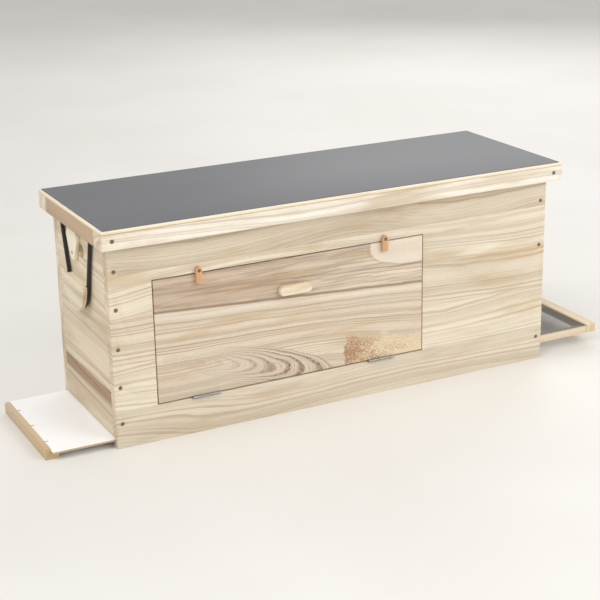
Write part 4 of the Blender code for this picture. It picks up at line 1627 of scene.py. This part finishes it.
# ---------------------------------------------------------------- the studio
@dataclass
class Studio:
    """A plain pale floor, soft lights and the camera.

    Attributes:
        place: Where the camera stands.
        azimuth: Which way it looks, in degrees from +Y.
        elevation: How far down it looks, in degrees.
        roll: How far it leans, in degrees.
        lens: Its focal length on a full-frame sensor, in millimetres.
        lamps: Each lamp's name, place, size and power.
        aim: Where the lamps face.
        sky: The colour of the light from all round.
        sky_strength: How strong it is.
    """

    place: Triple = (-1.388, -2.697, 1.217)
    azimuth: float = -26.91
    elevation: float = 18.94
    roll: float = -1.08
    lens: float = 90.1
    lamps: tuple[tuple[str, Triple, float, float], ...] = (
        ("key_light", (1.9, -3.2, 2.6), 2.4, 68.0),
        ("side_light", (-2.4, -0.9, 3.6), 2.4, 62.0),
        ("back_light", (2.6, 3.0, 2.4), 2.8, 42.0),
    )
    aim: Triple = (0.0, 0.0, 0.2)
    sky: Colour = (1.0, 0.99, 0.975, 1.0)
    sky_strength: float = 0.62

    def build(self) -> None:
        """Sets up the floor, the lights, the surroundings and the camera."""
        self.floor()
        self.surroundings()
        for name, place, size, power in self.lamps:
            self.lamp(name, Vector(place), size, power)
        self.camera()
        bpy.context.scene.view_settings.view_transform = "Standard"

    def floor(self) -> None:
        """Lays a wide pale floor."""
        shape = bmesh.new()
        bmesh.ops.create_grid(shape, x_segments=1, y_segments=1, size=40.0)
        mesh = bpy.data.meshes.new("floor")
        shape.to_mesh(mesh)
        shape.free()
        recipe = Recipe("floor_paint")
        clouds = recipe.coordinate().noise(1.5, 3.0)
        colour = recipe.mix(clouds.within(0.3, 0.7), shade(232, 229, 224), shade(236, 234, 230))
        mesh.materials.append(recipe.surface(colour, 0.6))
        floor = bpy.data.objects.new("floor", mesh)
        bpy.context.scene.collection.objects.link(floor)

    def surroundings(self) -> None:
        """Lights everything evenly from all round."""
        world = bpy.data.worlds.new("surroundings")
        world.use_nodes = True
        background = world.node_tree.nodes["Background"]
        background.inputs["Color"].default_value = self.sky
        background.inputs["Strength"].default_value = self.sky_strength
        bpy.context.scene.world = world

    def lamp(self, name: str, place: Vector, size: float, power: float) -> None:
        """Hangs a soft square lamp that faces the middle of the hive."""
        light = bpy.data.lights.new(name, "AREA")
        light.shape = "SQUARE"
        light.size = size
        light.energy = power
        lamp = bpy.data.objects.new(name, light)
        lamp.location = place
        lamp.rotation_euler = (Vector(self.aim) - place).to_track_quat("-Z", "Y").to_euler()
        bpy.context.scene.collection.objects.link(lamp)

    def camera(self) -> None:
        """Stands the camera at its place, turned and leaning as set."""
        turn = math.radians(self.azimuth)
        rise = math.radians(self.elevation)
        back = Vector((math.sin(turn) * math.cos(rise), -math.cos(turn) * math.cos(rise), math.sin(rise)))
        right = Vector((0, 0, 1)).cross(back).normalized()
        up = back.cross(right)
        axes = Matrix((right, up, back)).transposed() @ Matrix.Rotation(math.radians(self.roll), 3, "Z")
        data = bpy.data.cameras.new("camera")
        data.lens = self.lens
        data.sensor_width = SENSOR_WIDTH
        camera = bpy.data.objects.new("camera", data)
        camera.matrix_world = Matrix.Translation(Vector(self.place)) @ axes.to_4x4()
        bpy.context.scene.collection.objects.link(camera)
        bpy.context.scene.camera = camera


def main() -> None:
    """Builds the sub-assemblies in order, then the studio."""
    logging.basicConfig(level=logging.INFO, format="%(message)s")
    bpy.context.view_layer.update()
    bench = Bench(frame)
    steel = Metal("steel", shade(166, 166, 166), shade(128, 128, 128), 0.34).build()
    screw_steel = Metal("brown_screw", shade(150, 126, 104), shade(92, 72, 54), 0.40, 0.70, 900.0).build()
    # Darker than the other steel: partly the mesh's own blue-grey, partly painted shade for the dark shadow
    # under the hive that shows through the mesh.
    wire_steel_with_painted_shade = Metal("steel_mesh", shade(138, 141, 145), shade(96, 98, 102), 0.38).build()
    Studio().build()
    Carcass(bench).build(screw_steel)
    Door(bench).build(steel, screw_steel)
    Catches(bench).build(screw_steel)
    HoldDowns(bench).build(screw_steel)
    Lid(bench).build(screw_steel)
    Tray(bench).build(steel)
    MeshFloor(bench).build(wire_steel_with_painted_shade)
    Combs(bench).build(steel)
    LOG.info("%d pieces finished", bench.made)


if __name__ == "__main__":
    main()
